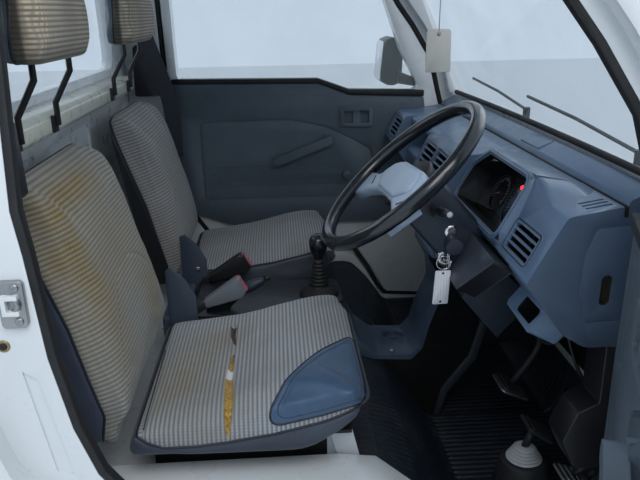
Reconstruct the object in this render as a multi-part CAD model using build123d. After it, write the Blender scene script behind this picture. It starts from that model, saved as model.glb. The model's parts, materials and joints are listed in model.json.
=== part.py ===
from build123d import *
import math
import os

os.makedirs("parts", exist_ok=True)

# Cab of a small forward-control truck, driver's seat on the right-hand side.
# Measures are in millimetres. While the pieces are drawn, X runs forward from the
# inner face of the rear wall, Y runs to the left and Z runs up from the foot floor.
# Every finished piece is then moved so that the origin is the centre of the four
# mounting holes, on the plane that the cab's rails stand on.

# Mounting
MOUNT_X = 560.0
MOUNT_SPACING_X = 900.0
MOUNT_SPACING_Y = 600.0
MOUNT_HOLE_R = 6.5
MOUNT_DROP = 130.0
RAIL_WIDE = 70.0
RAIL_WALL = 6.0

# Whole cab. HALF is half the width at the door openings' plane below the waist, and
# the wall's other faces stand at these distances from it.
HALF = 650.0
WALL_IN = -8.0
SKIN_LOW = 38.0
SKIN_BULGE = 47.5
SKIN_WAIST = 40.0
WAIST_Z = 700.0
LEAN = 0.13
SILL_Z = -175.0
BULGE_Z = 262.0
SIDE_TOP = 1225.0
ROOF_RISE = 75.0
HEADER_DEEP = 45.0
REAR_THICK = 30.0
SIDE_FRONT = 1085.0
NOSE_X = 1182.0
BUMPER_OUT = 68.0

# Doors
DOOR_REAR = 107.0
DOOR_FRONT = 978.0
DOOR_GAP = 6.0
SEAL_WIDTH = 12.0
LAP = 25.0
FLANGE_OUT = 11.0
SKIN_IN = 20.0
BOX_IN = -20.0
TRIM_IN = -42.0
FIT = 0.5
DOOR_REST = 68.0
HINGE_R = 6.0
HINGE_HEIGHTS = (210.0, 590.0)
KNUCKLE = 12.0

# Floor
DECK_Z = 200.0
MIDDLE_DROP = 28.0
LEDGE_WIDE = 145.0
PANEL = 14.0
FOOT_X = 792.0
TOE_X = 1076.0
ARCH_X = 440.0
ARCH_Z = -130.0
ARCH_R = 290.0
TUNNEL_WALL_Y = 322.0

# Screens
SCREEN_BASE = (1008.0, 690.0)
SCREEN_HEAD_X = 790.0
SCREEN_BOW = 15.0
SCREEN_THICK = 6.0

# Dashboard. Its face leans forward, and heights on the face run up it from its low edge.
DASH_SIDE = 60.0
FACE_LOW = (816.0, 538.0)
FACE_LEAN = 27.4
POD_OUT = 45.0
HOOD_OUT = 14.0

# Seats
SEAT_NEAR = 130.0
SEAT_SIDE = 94.0
CUSHION_FRONT = 590.0
CUSHION_REAR = 182.0

# Steering
WHEEL_AT = (670.0, -312.0, 650.0)
WHEEL_TILT = 41.2
WHEEL_TURN = 5.0
RIM_R = 173.5
RIM_THICK = 13.5

# Round bodies have flat sides, and so have corners under these radii: one cut, two or three
BEVEL_UNDER = 13.0
BEVEL_SHARE = 0.62
TWO_UNDER = 35.0
THREE_UNDER = 61.0
ROUND_SIDES = 16
SMALL_SIDES = 8

# Values that follow from these
INNER = HALF + WALL_IN
SKIN = HALF + SKIN_BULGE
BUMPER_X = NOSE_X + BUMPER_OUT
DOOR_TOP = SIDE_TOP - HEADER_DEEP
ROOF_TOP = SIDE_TOP + ROOF_RISE
TOP_HALF = HALF + SKIN_WAIST - LEAN * (SIDE_TOP - WAIST_Z)
MIDDLE_Z = DECK_Z - MIDDLE_DROP
LEDGE_Y = HALF - LEDGE_WIDE
DASH_HALF = HALF - DASH_SIDE
SEAT_FAR = HALF - SEAT_SIDE
SCREEN_HEAD = (SCREEN_HEAD_X, DOOR_TOP)


def up(share):
    # A height between the waist and the top of the doors.
    return WAIST_Z + share * (DOOR_TOP - WAIST_Z)


OPENING = [
    (DOOR_REAR, DOOR_TOP), (DOOR_REAR, WAIST_Z), (DOOR_REAR + 7, 638), (DOOR_REAR + 18, 490),
    (DOOR_REAR + 38, 377), (DOOR_REAR + 64, 298), (DOOR_REAR + 108, 235),
    (DOOR_REAR + 183, DECK_Z + 5), (600, DECK_Z), (687, DECK_Z - 29), (731, 104), (766, 40),
    (790, 5), (930, -5), (DOOR_FRONT - 16, 40), (DOOR_FRONT - 4, 300), (DOOR_FRONT, 424),
    (DOOR_FRONT, 640), (DOOR_FRONT - 43, up(0.208)), (DOOR_FRONT - 103, up(0.402)),
    (DOOR_FRONT - 148, up(0.525)), (DOOR_FRONT - 263, up(0.896)), (DOOR_FRONT - 318, DOOR_TOP)]

WINDOW = [
    (DOOR_REAR + 43, WAIST_Z + 45), (579, WAIST_Z + 37), (674, WAIST_Z + 2), (903, WAIST_Z - 6),
    (DOOR_FRONT - 144, up(0.248)), (DOOR_FRONT - 198, up(0.546)), (DOOR_FRONT - 278, up(0.798)),
    (DOOR_FRONT - 338, up(0.921)), (DOOR_REAR + 43, up(0.921))]


def grown(points, amount):
    # The outline moved outwards by an amount, or inwards where it is negative.
    area = 0.0
    count = len(points)
    for i in range(count):
        ax, az = points[i][:2]
        bx, bz = points[(i + 1) % count][:2]
        area += ax * bz - bx * az
    turn = 1.0 if area > 0 else -1.0
    result = []
    for i in range(count):
        before = points[i - 1]
        here = points[i]
        after = points[(i + 1) % count]
        ux, uz = here[0] - before[0], here[1] - before[1]
        vx, vz = after[0] - here[0], after[1] - here[1]
        ul = math.hypot(ux, uz)
        vl = math.hypot(vx, vz)
        nux, nuz = turn * uz / ul, -turn * ux / ul
        nvx, nvz = turn * vz / vl, -turn * vx / vl
        share = 1.0 + nux * nvx + nuz * nvz
        result.append((here[0] + amount * (nux + nvx) / share,
                       here[1] + amount * (nuz + nvz) / share))
    return result


def folded(points, thick):
    # A line in side view that runs forward, given a thickness on its lower side.
    count = len(points)
    lower = []
    for i in range(count):
        before = points[max(i - 1, 0)]
        here = points[i]
        after = points[min(i + 1, count - 1)]
        normals = []
        for a, b in ((before, here), (here, after)):
            length = math.hypot(b[0] - a[0], b[1] - a[1])
            if length > 0:
                normals.append(((b[1] - a[1]) / length, -(b[0] - a[0]) / length))
        first = normals[0]
        last = normals[-1]
        share = 1.0 + first[0] * last[0] + first[1] * last[1]
        lower.append((here[0] + thick * (first[0] + last[0]) / share,
                      here[1] + thick * (first[1] + last[1]) / share))
    return points + lower[::-1]


def ring(points, place, radius=0.0):
    # A closed outline with rounded corners, set into space by the place function.
    # A point can carry a corner radius of its own as a third value. Slight bends stay
    # sharp unless they carry one. Only large radii are true arcs, the others a few cuts.
    count = len(points)
    corners = []
    for i in range(count):
        before = points[i - 1]
        here = points[i]
        after = points[(i + 1) % count]
        own = len(here) > 2
        r = here[2] if own else radius
        ux, uv = before[0] - here[0], before[1] - here[1]
        vx, vv = after[0] - here[0], after[1] - here[1]
        ul = math.hypot(ux, uv)
        vl = math.hypot(vx, vv)
        cosine = (ux * vx + uv * vv) / (ul * vl)
        angle = math.acos(max(-1.0, min(1.0, cosine)))
        widest = 179.0 if own else 148.0
        if r <= 0.0 or angle > math.radians(widest):
            corners.append(((here[0], here[1]), None, (here[0], here[1])))
            continue
        reach = min(r / math.tan(angle / 2), 0.48 * ul, 0.48 * vl)
        r = reach * math.tan(angle / 2)
        straight = r < BEVEL_UNDER
        if straight:
            reach *= BEVEL_SHARE
        start = (here[0] + ux / ul * reach, here[1] + uv / ul * reach)
        end = (here[0] + vx / vl * reach, here[1] + vv / vl * reach)
        if straight:
            corners.append((start, None, end))
            continue
        bx, bv = ux / ul + vx / vl, uv / ul + vv / vl
        bl = math.hypot(bx, bv)
        away = r / math.sin(angle / 2)
        centre = (here[0] + bx / bl * away, here[1] + bv / bl * away)
        cuts = 2 if r < TWO_UNDER or r >= THREE_UNDER else 3
        first = math.atan2(start[1] - centre[1], start[0] - centre[0])
        sweep_angle = math.atan2(end[1] - centre[1], end[0] - centre[0]) - first
        sweep_angle = (sweep_angle + math.pi) % (2 * math.pi) - math.pi
        between = []
        for k in range(1, cuts):
            turn = first + sweep_angle * k / cuts
            between.append((centre[0] + r * math.cos(turn), centre[1] + r * math.sin(turn)))
        corners.append((start, between, end, r))
    edges = []
    for i in range(count):
        start, between, end = corners[i][:3]
        if between and corners[i][3] >= THREE_UNDER:
            edges.append(ThreePointArc(place(*start), place(*between[0]), place(*end)))
        elif start != end:
            way = [start] + (between or []) + [end]
            edges += [Line(place(*p), place(*q)) for p, q in zip(way, way[1:])]
        following = corners[(i + 1) % count][0]
        if math.hypot(following[0] - end[0], following[1] - end[1]) > 0.001:
            edges.append(Line(place(*end), place(*following)))
    return make_face(edges)


def prism_y(points, y0, y1, radius=0.0):
    face = ring(points, lambda u, v: (u, y0, v), radius)
    return extrude(face, amount=y1 - y0, dir=(0, 1, 0))


def prism_x(points, x0, x1, radius=0.0):
    face = ring(points, lambda u, v: (x0, u, v), radius)
    return extrude(face, amount=x1 - x0, dir=(1, 0, 0))


def prism_z(points, z0, z1, radius=0.0):
    face = ring(points, lambda u, v: (u, v, z0), radius)
    return extrude(face, amount=z1 - z0, dir=(0, 0, 1))


def box(x0, x1, y0, y1, z0, z1):
    size = (x1 - x0, y1 - y0, z1 - z0)
    middle = ((x0 + x1) / 2, (y0 + y1) / 2, (z0 + z1) / 2)
    return Pos(*middle) * Box(*size)


def rod(start, end, radius):
    # A round bar between two points.
    a = Vector(*start)
    b = Vector(*end)
    plane = Plane(origin=a, z_dir=b - a)
    return extrude(plane * Circle(radius), amount=(b - a).length)


def bar(points, radius, sides=8):
    # A bent bar through several points, with mitred bends.
    way = Polyline(*points)
    start = Plane(origin=points[0], z_dir=Vector(*points[1]) - Vector(*points[0]))
    return sweep(start * RegularPolygon(radius, sides), path=way, transition=Transition.RIGHT)


def turned(levels, sides=ROUND_SIDES):
    # A body about the vertical through a radius at each height, with flat sides.
    turns = [2 * math.pi * (k + 0.5) / sides for k in range(sides)]
    rings = [[(r * math.cos(turn), r * math.sin(turn), z) for turn in turns] for r, z in levels]
    walls = [rings[0], rings[-1]]
    for low, high in zip(rings, rings[1:]):
        for k in range(sides):
            walls.append([low[k - 1], low[k], high[k], high[k - 1]])
    return Solid(Shell([make_face(Polyline(*wall, close=True)).face() for wall in walls]))


def joined(pieces):
    result = pieces[0]
    for piece in pieces[1:]:
        result = result + piece
    return result


def datum(z):
    # Half width of the door opening's plane at a height.
    return HALF - LEAN * max(0.0, z - WAIST_Z)


def slab(inside, outside=None, low=SILL_Z, high=SIDE_TOP):
    # The left side wall between two depths. With no outer depth it runs out to the
    # bowed outer skin.
    place = lambda y, z: (-200.0, y, z)
    edges = [Line(place(datum(low) + inside, low), place(datum(WAIST_Z) + inside, WAIST_Z)),
             Line(place(datum(WAIST_Z) + inside, WAIST_Z), place(datum(high) + inside, high))]
    if outside is not None:
        edges += [Line(place(datum(high) + inside, high), place(datum(high) + outside, high)),
                  Line(place(datum(high) + outside, high), place(HALF + outside, WAIST_Z)),
                  Line(place(HALF + outside, WAIST_Z), place(datum(low) + outside, low)),
                  Line(place(datum(low) + outside, low), place(datum(low) + inside, low))]
    else:
        middle_y, middle_z = upper_middle()
        edges += [Line(place(datum(high) + inside, high), place(TOP_HALF, high)),
                  ThreePointArc(place(TOP_HALF, high), place(middle_y, middle_z),
                                place(HALF + SKIN_WAIST, WAIST_Z)),
                  ThreePointArc(place(HALF + SKIN_WAIST, WAIST_Z), place(SKIN, BULGE_Z),
                                place(HALF + SKIN_LOW, low)),
                  Line(place(HALF + SKIN_LOW, low), place(datum(low) + inside, low))]
    return extrude(make_face(edges), amount=1600.0, dir=(1, 0, 0))


def upper_middle():
    # A point half way up the bowed skin above the waist.
    return (HALF + SKIN_WAIST + TOP_HALF) / 2 + 4.0, (WAIST_Z + SIDE_TOP) / 2


def through(points, radius=0.0):
    # An outline in side view, run through the whole left side wall.
    return prism_y(points, HALF - 250.0, HALF + 250.0, radius)


def other(shape):
    return mirror(shape, about=Plane.XZ)


def both(shape):
    return shape + other(shape)


def rectangle(u0, u1, v0, v1):
    return [(u0, v0), (u1, v0), (u1, v1), (u0, v1)]


done = {}


def keep(name, shape):
    done[name] = shape


# Rails under the floor, with the four mounting holes
RAIL_REAR = -REAR_THICK
RAIL_FRONT = 1120.0
rail_y = MOUNT_SPACING_Y / 2
rail = box(RAIL_REAR, RAIL_FRONT, rail_y - RAIL_WIDE / 2, rail_y + RAIL_WIDE / 2, -MOUNT_DROP, -PANEL)
rail -= box(RAIL_REAR - 1, RAIL_FRONT + 1, rail_y - RAIL_WIDE / 2 + RAIL_WALL,
            rail_y + RAIL_WIDE / 2 - RAIL_WALL, RAIL_WALL - MOUNT_DROP, 1 - PANEL)
for x in (MOUNT_X - MOUNT_SPACING_X / 2, MOUNT_X + MOUNT_SPACING_X / 2):
    rail -= rod((x, rail_y, -MOUNT_DROP - 1), (x, rail_y, RAIL_WALL + 2 - MOUNT_DROP), MOUNT_HOLE_R)
rails = both(rail)
for x in (20, 760, 1080):
    rails += box(x, x + 40, RAIL_WIDE / 2 - rail_y, rail_y - RAIL_WIDE / 2,
                 20 - MOUNT_DROP, -PANEL - 20)
keep("frame_rails", rails)

# Floor: middle deck, its slope down to the foot floor, the toe board, and a raised
# ledge over each wheel arch
middle_line = [(0, MIDDLE_Z), (610, MIDDLE_Z), (672, MIDDLE_Z - 24), (724, 86), (760, 32),
               (FOOT_X - 6, 0), (TOE_X, 0), (TOE_X + 40, 68), (TOE_X + 48, 150)]
ledge_line = [(0, DECK_Z), (600, DECK_Z), (687, DECK_Z - 29), (731, 104), (766, 40), (FOOT_X, 0)]
plan = [(0, LEDGE_Y), (535, LEDGE_Y), (600, LEDGE_Y + 12), (655, LEDGE_Y + 60), (720, LEDGE_Y + 90),
        (FOOT_X, LEDGE_Y + 100), (FOOT_X, INNER), (0, INNER)]
under = [(FOOT_X, -PANEL / 2), (753, 20), (718, 76), (668, MIDDLE_Z - 32), (605, MIDDLE_Z - 8),
         (0, MIDDLE_Z - 8)]
ledge = prism_y(ledge_line + under, LEDGE_Y - 10, INNER) & prism_z(plan, -PANEL, DECK_Z + 1)
inside_plan = [(-1, LEDGE_Y + PANEL), (530, LEDGE_Y + PANEL), (592, LEDGE_Y + 12 + PANEL),
               (645, LEDGE_Y + 60 + PANEL), (700, LEDGE_Y + 90 + PANEL), (700, INNER + 1),
               (-1, INNER + 1)]
inside_line = [(-1, DECK_Z - PANEL), (596, DECK_Z - PANEL), (680, DECK_Z - 29 - PANEL), (700, 130),
               (700, 60), (-1, 60)]
hollow = prism_y(inside_line, LEDGE_Y, INNER + 1) & prism_z(inside_plan, 0, DECK_Z)
pan = prism_y(folded(middle_line, PANEL), -INNER, INNER)
pan = pan + both(ledge) - both(hollow)
arch_wall = [(3, -PANEL - 4), (3, MIDDLE_Z - 6), (606, MIDDLE_Z - 6), (667, MIDDLE_Z - 30),
             (718, 80), (755, 24), (774, -PANEL - 4)]
for low in (TUNNEL_WALL_Y, -TUNNEL_WALL_Y - 12):
    pan += prism_y(arch_wall, low, low + 12) - rails
floor = pan

# Outer shut line of the doors: wide of the opening at the rear, close to it elsewhere
lapped = grown(OPENING, LAP)
SHUT_REAR = 20.0
SHUT = [(SHUT_REAR, lapped[0][1]), (SHUT_REAR, WAIST_Z), (SHUT_REAR + 2, 560), (SHUT_REAR + 14, 430),
        (SHUT_REAR + 42, 330), (SHUT_REAR + 90, 250), (SHUT_REAR + 170, 190),
        (SHUT_REAR + 260, DECK_Z - 22)] + lapped[8:]

# Side frames round the doors
side_outline = [(0, -60), (0, SIDE_TOP), (770, SIDE_TOP), (1033, WAIST_Z + 5), (SIDE_FRONT, 650),
                (SIDE_FRONT, -160), (640, -160), (ARCH_X, 0), (240, -60)]
side = slab(WALL_IN) & through(side_outline)
side -= rod((ARCH_X, HALF - 150, ARCH_Z), (ARCH_X, HALF + 150, ARCH_Z), ARCH_R)
side -= through(OPENING, 12)
side -= slab(FLANGE_OUT, 120, SILL_Z - 50, SIDE_TOP + 50) & through(SHUT, 14)
# Pressed step down the door post
side -= slab(FLANGE_OUT - 3, FLANGE_OUT + 1) & through([(88, 472), (107, 459), (138, 300), (114, 306)])
pillar = [(1005.7, SCREEN_BASE[1]), (SCREEN_HEAD_X - 2.3, DOOR_TOP), (715, DOOR_TOP),
          (735, up(0.896)), (850, up(0.525)), (895, up(0.402)), (955, up(0.208)), (985, 690)]
side += slab(WALL_IN - 42, WALL_IN) & through(pillar)
side_left = side

# Rubber seals round the door openings
seal = slab(WALL_IN, FLANGE_OUT) & (through(OPENING, 12) - through(grown(OPENING, -SEAL_WIDTH), 8))
keep("door_seals", both(seal))

# Rear wall with its window and pressed panels
BACK_LOW = 100.0
BOW_Z = 420.0
low_y = HALF + SKIN_LOW + 8.0
waist_y = HALF + SKIN_WAIST
middle_y, middle_z = upper_middle()
edges = [Line((0, -low_y, BACK_LOW), (0, low_y, BACK_LOW)),
         ThreePointArc((0, low_y, BACK_LOW), (0, SKIN - 1.5, BOW_Z), (0, waist_y, WAIST_Z)),
         ThreePointArc((0, waist_y, WAIST_Z), (0, middle_y, middle_z), (0, TOP_HALF, SIDE_TOP)),
         Line((0, TOP_HALF, SIDE_TOP), (0, -TOP_HALF, SIDE_TOP)),
         ThreePointArc((0, -TOP_HALF, SIDE_TOP), (0, -middle_y, middle_z), (0, -waist_y, WAIST_Z)),
         ThreePointArc((0, -waist_y, WAIST_Z), (0, -SKIN + 1.5, BOW_Z), (0, -low_y, BACK_LOW))]
back = extrude(make_face(edges), amount=REAR_THICK, dir=(-1, 0, 0))
pane_half = HALF - 170.0
pane_top = up(0.896)
pane = [(-pane_half, WAIST_Z + 96), (pane_half, WAIST_Z + 96), (pane_half - 25, pane_top),
        (25 - pane_half, pane_top)]
back -= prism_x(pane, -REAR_THICK - 1, 1, 45)
for y in (-HALF * 0.6, 0, HALF * 0.6):
    back -= prism_x(rectangle(y - 150, y + 150, 330, 690), -5, 1, 12)
keep("rear_wall", back)
keep("rear_glass", prism_x(grown(pane, -FIT), -18, -13, 45))

# Cross-member on the rear wall, which carries the head restraints
member_half = HALF - 178.0
MEMBER_X = 51.0
MEMBER_LOW = WAIST_Z + 30.0
MEMBER_HIGH = WAIST_Z + 72.0
member = prism_y([(0, MEMBER_LOW), (MEMBER_X - 9, MEMBER_LOW), (MEMBER_X, MEMBER_LOW + 10),
                  (MEMBER_X, MEMBER_HIGH - 8), (MEMBER_X - 10, MEMBER_HIGH), (0, MEMBER_HIGH + 6)],
                 -member_half, member_half)
member &= prism_x([(-member_half, MEMBER_LOW - 1, 18), (member_half, MEMBER_LOW - 1, 18),
                   (member_half, MEMBER_HIGH + 7, 18), (-member_half, MEMBER_HIGH + 7, 18)], -1, 60)
keep("rear_crossmember", member)

# Roof with the header rail over the windscreen
crown = prism_x([(-TOP_HALF, SIDE_TOP), (TOP_HALF, SIDE_TOP), (TOP_HALF - 14, SIDE_TOP + 26, 40),
                 (340, ROOF_TOP - 8, 300), (-340, ROOF_TOP - 8, 300),
                 (14 - TOP_HALF, SIDE_TOP + 26, 40)], -REAR_THICK, 800)
crown &= prism_y([(-REAR_THICK, SIDE_TOP), (770, SIDE_TOP), (742, SIDE_TOP + 45, 60),
                  (560, ROOF_TOP, 300), (120, ROOF_TOP, 300),
                  (-REAR_THICK, SIDE_TOP + 50, 50)], -SKIN, SKIN)
lining = TOP_HALF - 56.0
room = prism_x([(-lining, SIDE_TOP - 1), (lining, SIDE_TOP - 1), (lining - 21, SIDE_TOP + 12, 30),
                (340, ROOF_TOP - 42, 300), (-340, ROOF_TOP - 42, 300),
                (21 - lining, SIDE_TOP + 12, 30)], 0, 690)
header_half = TOP_HALF - 52.0
roof = crown - room
roof += prism_y([(700, SIDE_TOP), (735, DOOR_TOP + 12), (776, DOOR_TOP + 1), (788, DOOR_TOP + 1),
                 (768, SIDE_TOP)], -header_half, header_half)
keep("roof_panel", roof)

# Windscreen, bowed in plan and leaning back
base_x, base_z = SCREEN_BASE
lean_x = (SCREEN_HEAD[0] - base_x) / (SCREEN_HEAD[1] - base_z)
half = HALF - 10.0
start = [(base_x - 2, -half), (base_x + SCREEN_BOW, 0), (base_x - 2, half)]
glass = make_face([
    ThreePointArc(*[(x, y, base_z) for x, y in start]),
    Line((start[2][0], half, base_z), (start[2][0] + SCREEN_THICK, half, base_z)),
    ThreePointArc(*[(x + SCREEN_THICK, y, base_z) for x, y in reversed(start)]),
    Line((start[0][0] + SCREEN_THICK, -half, base_z), (start[0][0], -half, base_z))])
height = SCREEN_HEAD[1] - base_z
sweep_way = Vector(lean_x, 0, 1)
screen = extrude(glass, amount=height * sweep_way.length, dir=(lean_x, 0, 1))
head_half = HALF - 74.0
screen &= prism_x([(-half, base_z + 2), (half, base_z + 2), (head_half, DOOR_TOP - 2),
                   (-head_half, DOOR_TOP - 2)], 700, 1100, 35)
keep("windscreen", screen)

# Front panel with the cowl under the windscreen, lamp openings and an air slot
NOSE_WALL = 40.0
nose_out = [(SIDE_FRONT, 650), (SIDE_FRONT + 23, 632, 30), (NOSE_X - 20, 420, 60), (NOSE_X - 2, 250, 60),
            (NOSE_X, 60), (NOSE_X, -150), (SIDE_FRONT, -150)]
nose_in = [(SIDE_FRONT - 30, 628), (SIDE_FRONT - 7, 605), (NOSE_X - 62, 410), (NOSE_X - 44, 240),
           (NOSE_X - NOSE_WALL, 60), (NOSE_X - NOSE_WALL, -151), (SIDE_FRONT - 30, -151)]
nose = prism_y(nose_out, -SKIN, SKIN)
nose &= prism_z([(1000, -waist_y), (1000, waist_y), (SIDE_FRONT + 45, waist_y - 4, 120),
                 (NOSE_X, HALF - 90, 200), (NOSE_X + 2, 0), (NOSE_X, 90 - HALF, 200),
                 (SIDE_FRONT + 45, 4 - waist_y, 120)], -200, 700)
nose -= prism_y(nose_in, -HALF, HALF)
cowl_line = [(SCREEN_BASE[0] + 6, 660), (SCREEN_BASE[0] + 6, 687), (SCREEN_BASE[0] + 26, 687),
             (SIDE_FRONT, 650), (SIDE_FRONT, 620), (1050, 640)]
nose += prism_y(cowl_line, 1 - INNER, INNER - 1)
lamp_low = HALF - 218.0
lamp_high = HALF + 5.0
lamp_shape = [(lamp_low, 205, 20), (lamp_high - 5, 225, 30), (lamp_high, 372, 30), (lamp_low + 38, 345, 20)]
for sign in (1, -1):
    nose -= prism_x([(sign * y, z, r) for y, z, r in lamp_shape], NOSE_X - 62, NOSE_X + 118)
nose -= prism_x([(-lamp_low + 60, 262, 14), (lamp_low - 60, 262, 14), (lamp_low - 60, 292, 14),
                 (-lamp_low + 60, 292, 14)], NOSE_X - 14, NOSE_X + 118)
keep("front_panel", nose)
keep("floor_pan", floor)

lens = prism_x([(y + (0.3 if y < HALF - 100 else -0.3), z + (0.3 if z < 300 else -0.3), r)
                for y, z, r in lamp_shape], NOSE_X - 60, NOSE_X - 6)
lens &= prism_z([(1000, 0), (1000, HALF + 10), (SIDE_FRONT + 55, HALF + 2),
                 (NOSE_X - 2, HALF - 110, 100), (NOSE_X - 2, 0)], 0, 600)
keep("front_lamps", both(lens))

# Bumper
bumper = prism_y([(NOSE_X, -170), (NOSE_X, 70), (BUMPER_X - 24, 70, 20), (BUMPER_X - 6, 20, 40),
                  (BUMPER_X, -110, 60), (BUMPER_X - 28, -170, 20)], -SKIN, SKIN)
bumper &= prism_z([(NOSE_X - 1, -SKIN), (NOSE_X - 1, SKIN), (NOSE_X + 18, SKIN, 40),
                   (BUMPER_X - 18, HALF - 90, 200), (BUMPER_X, 0, 900), (BUMPER_X - 18, 90 - HALF, 200),
                   (NOSE_X + 18, -SKIN, 40)], -200, 200)
keep("front_bumper", bumper)

# Wipers at rest on the outside of the windscreen
wiper_parts = []
for start_y, end_y in ((-430, 60), (110, 520)):
    foot = (1052, start_y, 700)
    tip = (1034, end_y, 738)
    wiper_parts.append(bar([foot, (1046, start_y + 0.5 * (end_y - start_y), 722), tip], 4, 6))
    wiper_parts.append(bar([(1052, start_y, 660), (1052, start_y, 706)], 9) - nose)
keep("wipers", joined(wiper_parts))

# Dashboard
FACE_SIN = math.sin(math.radians(FACE_LEAN))
FACE_COS = math.cos(math.radians(FACE_LEAN))


def on_face(y, rise, out=0.0):
    # A point at a height up the dashboard's face and a distance out from it.
    return (FACE_LOW[0] + rise * FACE_SIN - out * FACE_COS, y,
            FACE_LOW[1] + rise * FACE_COS + out * FACE_SIN)


def facing(points, low, high, radius=0.0):
    # An outline drawn on the dashboard's face, made solid between two levels.
    face = ring(points, lambda y, rise: on_face(y, rise, low), radius)
    return extrude(face, amount=high - low, dir=(-FACE_COS, 0, FACE_SIN))


FACE_HIGH = 118.0
ridge = on_face(0, FACE_HIGH)
RIDGE = (ridge[0], ridge[2], 14)
GROOVE_X = 953.0
PAD_TOP = [(GROOVE_X, 656), (GROOVE_X + 1, 651), (GROOVE_X + 5, 651), (GROOVE_X + 6, 664, 8),
           (SCREEN_BASE[0] - 6, 684, 5), (SCREEN_BASE[0] + 2, 655), (1090, 640)]
LOW_EDGE = (FACE_LOW[0] - 1, FACE_LOW[1] + 2, 8)
end_body = [LOW_EDGE, RIDGE] + PAD_TOP + [(1128, 425), (915, 430, 30), (878, 453, 25)]
face_body = [LOW_EDGE, RIDGE] + PAD_TOP + [(1128, 500), (850, 522)]
pod_low = on_face(0, 12, POD_OUT)
pod_high = on_face(0, 95, POD_OUT)
pod_body = [(pod_low[0], pod_low[2], 8), (pod_high[0], pod_high[2], 10), (RIDGE[0], RIDGE[1] + 2)] + PAD_TOP
pod_body += [(1128, 425), (800, 425), (774, 412, 6), (806, 520)]
tray_body = [(824, 552, 6), (836, 560), (900, 560), (900, 622), (838, 624, 5), (840, 640, 8)]
tray_body += [(RIDGE[0], RIDGE[1] + 2)] + PAD_TOP + [(1128, 425), (868, 440, 30), (838, 500)]
far_body = [(pod_low[0], pod_low[2], 10), (pod_high[0], pod_high[2], 14), (RIDGE[0], RIDGE[1] + 2)] + PAD_TOP
far_body += [(1128, 425), (868, 440, 30)]
END_WIDE = 145.0
POD_HALF = 130.0
dash = prism_y(end_body, -DASH_HALF, END_WIDE - DASH_HALF)
dash += prism_y(face_body, END_WIDE - DASH_HALF, -POD_HALF)
dash += prism_y(pod_body, -POD_HALF, POD_HALF)
dash += prism_y(tray_body, POD_HALF, DASH_HALF - END_WIDE)
dash += prism_y(far_body, DASH_HALF - END_WIDE, DASH_HALF)

# Hood round the instruments, standing out of the face
hood_wide = [(-125, 4), (-447, 4), (-452, 150), (-205, 152), (-140, 112)]
hood_lip = [(-140, 14), (-437, 14), (-443, 144), (-210, 145), (-152, 103)]
dial_hole = [(-150, 23), (-428, 23), (-434, 135), (-216, 136), (-161, 97)]
hood_foot = ring(hood_wide, lambda y, rise: on_face(y, rise, -3), 24)
hood_edge = ring(hood_lip, lambda y, rise: on_face(y, rise, HOOD_OUT), 24)
hood = loft([hood_foot, hood_edge])
hood_back = [on_face(0, 60, -40), on_face(0, 146, HOOD_OUT - 5), on_face(0, 150, -4)]
hood += prism_y([(p[0], p[2]) for p in hood_back] + [(GROOVE_X, 656), (GROOVE_X, 600)], -440, -205)
dash += hood
dash -= facing(dial_hole, -45, HOOD_OUT + 30, 18)

# Vent openings, and the grilles that sit in them
VENT_SIDE = 35.0
VENT_WIDE = 109.0
VENTS = [(VENT_SIDE - DASH_HALF, VENT_SIDE + VENT_WIDE - DASH_HALF, 16, 71, 0),
         (-104, -6, 24, 84, POD_OUT), (6, 116, 24, 84, POD_OUT),
         (DASH_HALF - VENT_SIDE - VENT_WIDE, DASH_HALF - VENT_SIDE, 24, 82, POD_OUT)]
VENT_DEEP = 32.0
vents = []
for low, high, bottom, top, out in VENTS:
    dash -= facing(rectangle(low, high, bottom, top), out - VENT_DEEP, out + 5, 8)
    frame = facing(grown(rectangle(low, high, bottom, top), -FIT / 2), out - VENT_DEEP, out + 1.5, 8)
    frame -= facing(grown(rectangle(low, high, bottom, top), -5), out - VENT_DEEP + 4, out + 2)
    vents.append(frame)
    step = (top - bottom - 6) / 4
    for i in range(1, 4):
        rise = bottom + 3 + i * step
        vents.append(facing(rectangle(low + 4, high - 4, rise - 2, rise + 2), out - 16, out, 0))
    middle = (low + high) / 2
    vents.append(facing(rectangle(middle - 1.5, middle + 1.5, bottom + 4, top - 4), out - 24, out - 14, 0))
keep("air_vents", joined(vents))

# Seam and slot in the driver's end of the dashboard, a lid on its top, and a small box
# and a knee panel under its face
cover = [(915, 626), (899, 578), (897, 525), (909, 472), (1000, 476), (1000, 632)]
for side_y in (-DASH_HALF, DASH_HALF):
    seam = prism_y(cover, side_y - 2, side_y + 2, 10)
    seam -= prism_y(grown(cover, -2.5), side_y - 3, side_y + 3, 8)
    dash -= seam
dash -= prism_y([(930, 500, 8), (946, 502, 8), (947, 550, 8), (931, 549, 8)], -DASH_HALF - 1, 12 - DASH_HALF)
for i in range(3):
    low = 20 - DASH_HALF + 14 * i
    dash -= box(905, 945, low, low + 7, 640, 662)
dash += prism_y([(964, 664), (998, 680), (997, 683.5), (965, 670)], -205, -105)
BIN_OUT = -55.0
bin_frame = [(20 - DASH_HALF, -72), (135 - DASH_HALF, -68), (115 - DASH_HALF, -18), (5 - DASH_HALF, -20)]
bin_hole = [(32 - DASH_HALF, -61), (92 - DASH_HALF, -61), (84 - DASH_HALF, -31), (20 - DASH_HALF, -31)]
dash += facing(bin_frame, BIN_OUT - 50, BIN_OUT, 8)
dash -= facing(bin_hole, BIN_OUT - 36, BIN_OUT + 1, 6)
knee = facing([(-200, -88), (-425, -92), (-501, -4), (-200, 2)], -16, 22, 6)
dash = dash + knee - nose - screen
keep("dashboard", dash)
face_plate = facing(grown(dial_hole, -FIT / 2), -44.7, -36, 18 - FIT / 2)
keep("instrument_cluster", face_plate)

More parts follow.
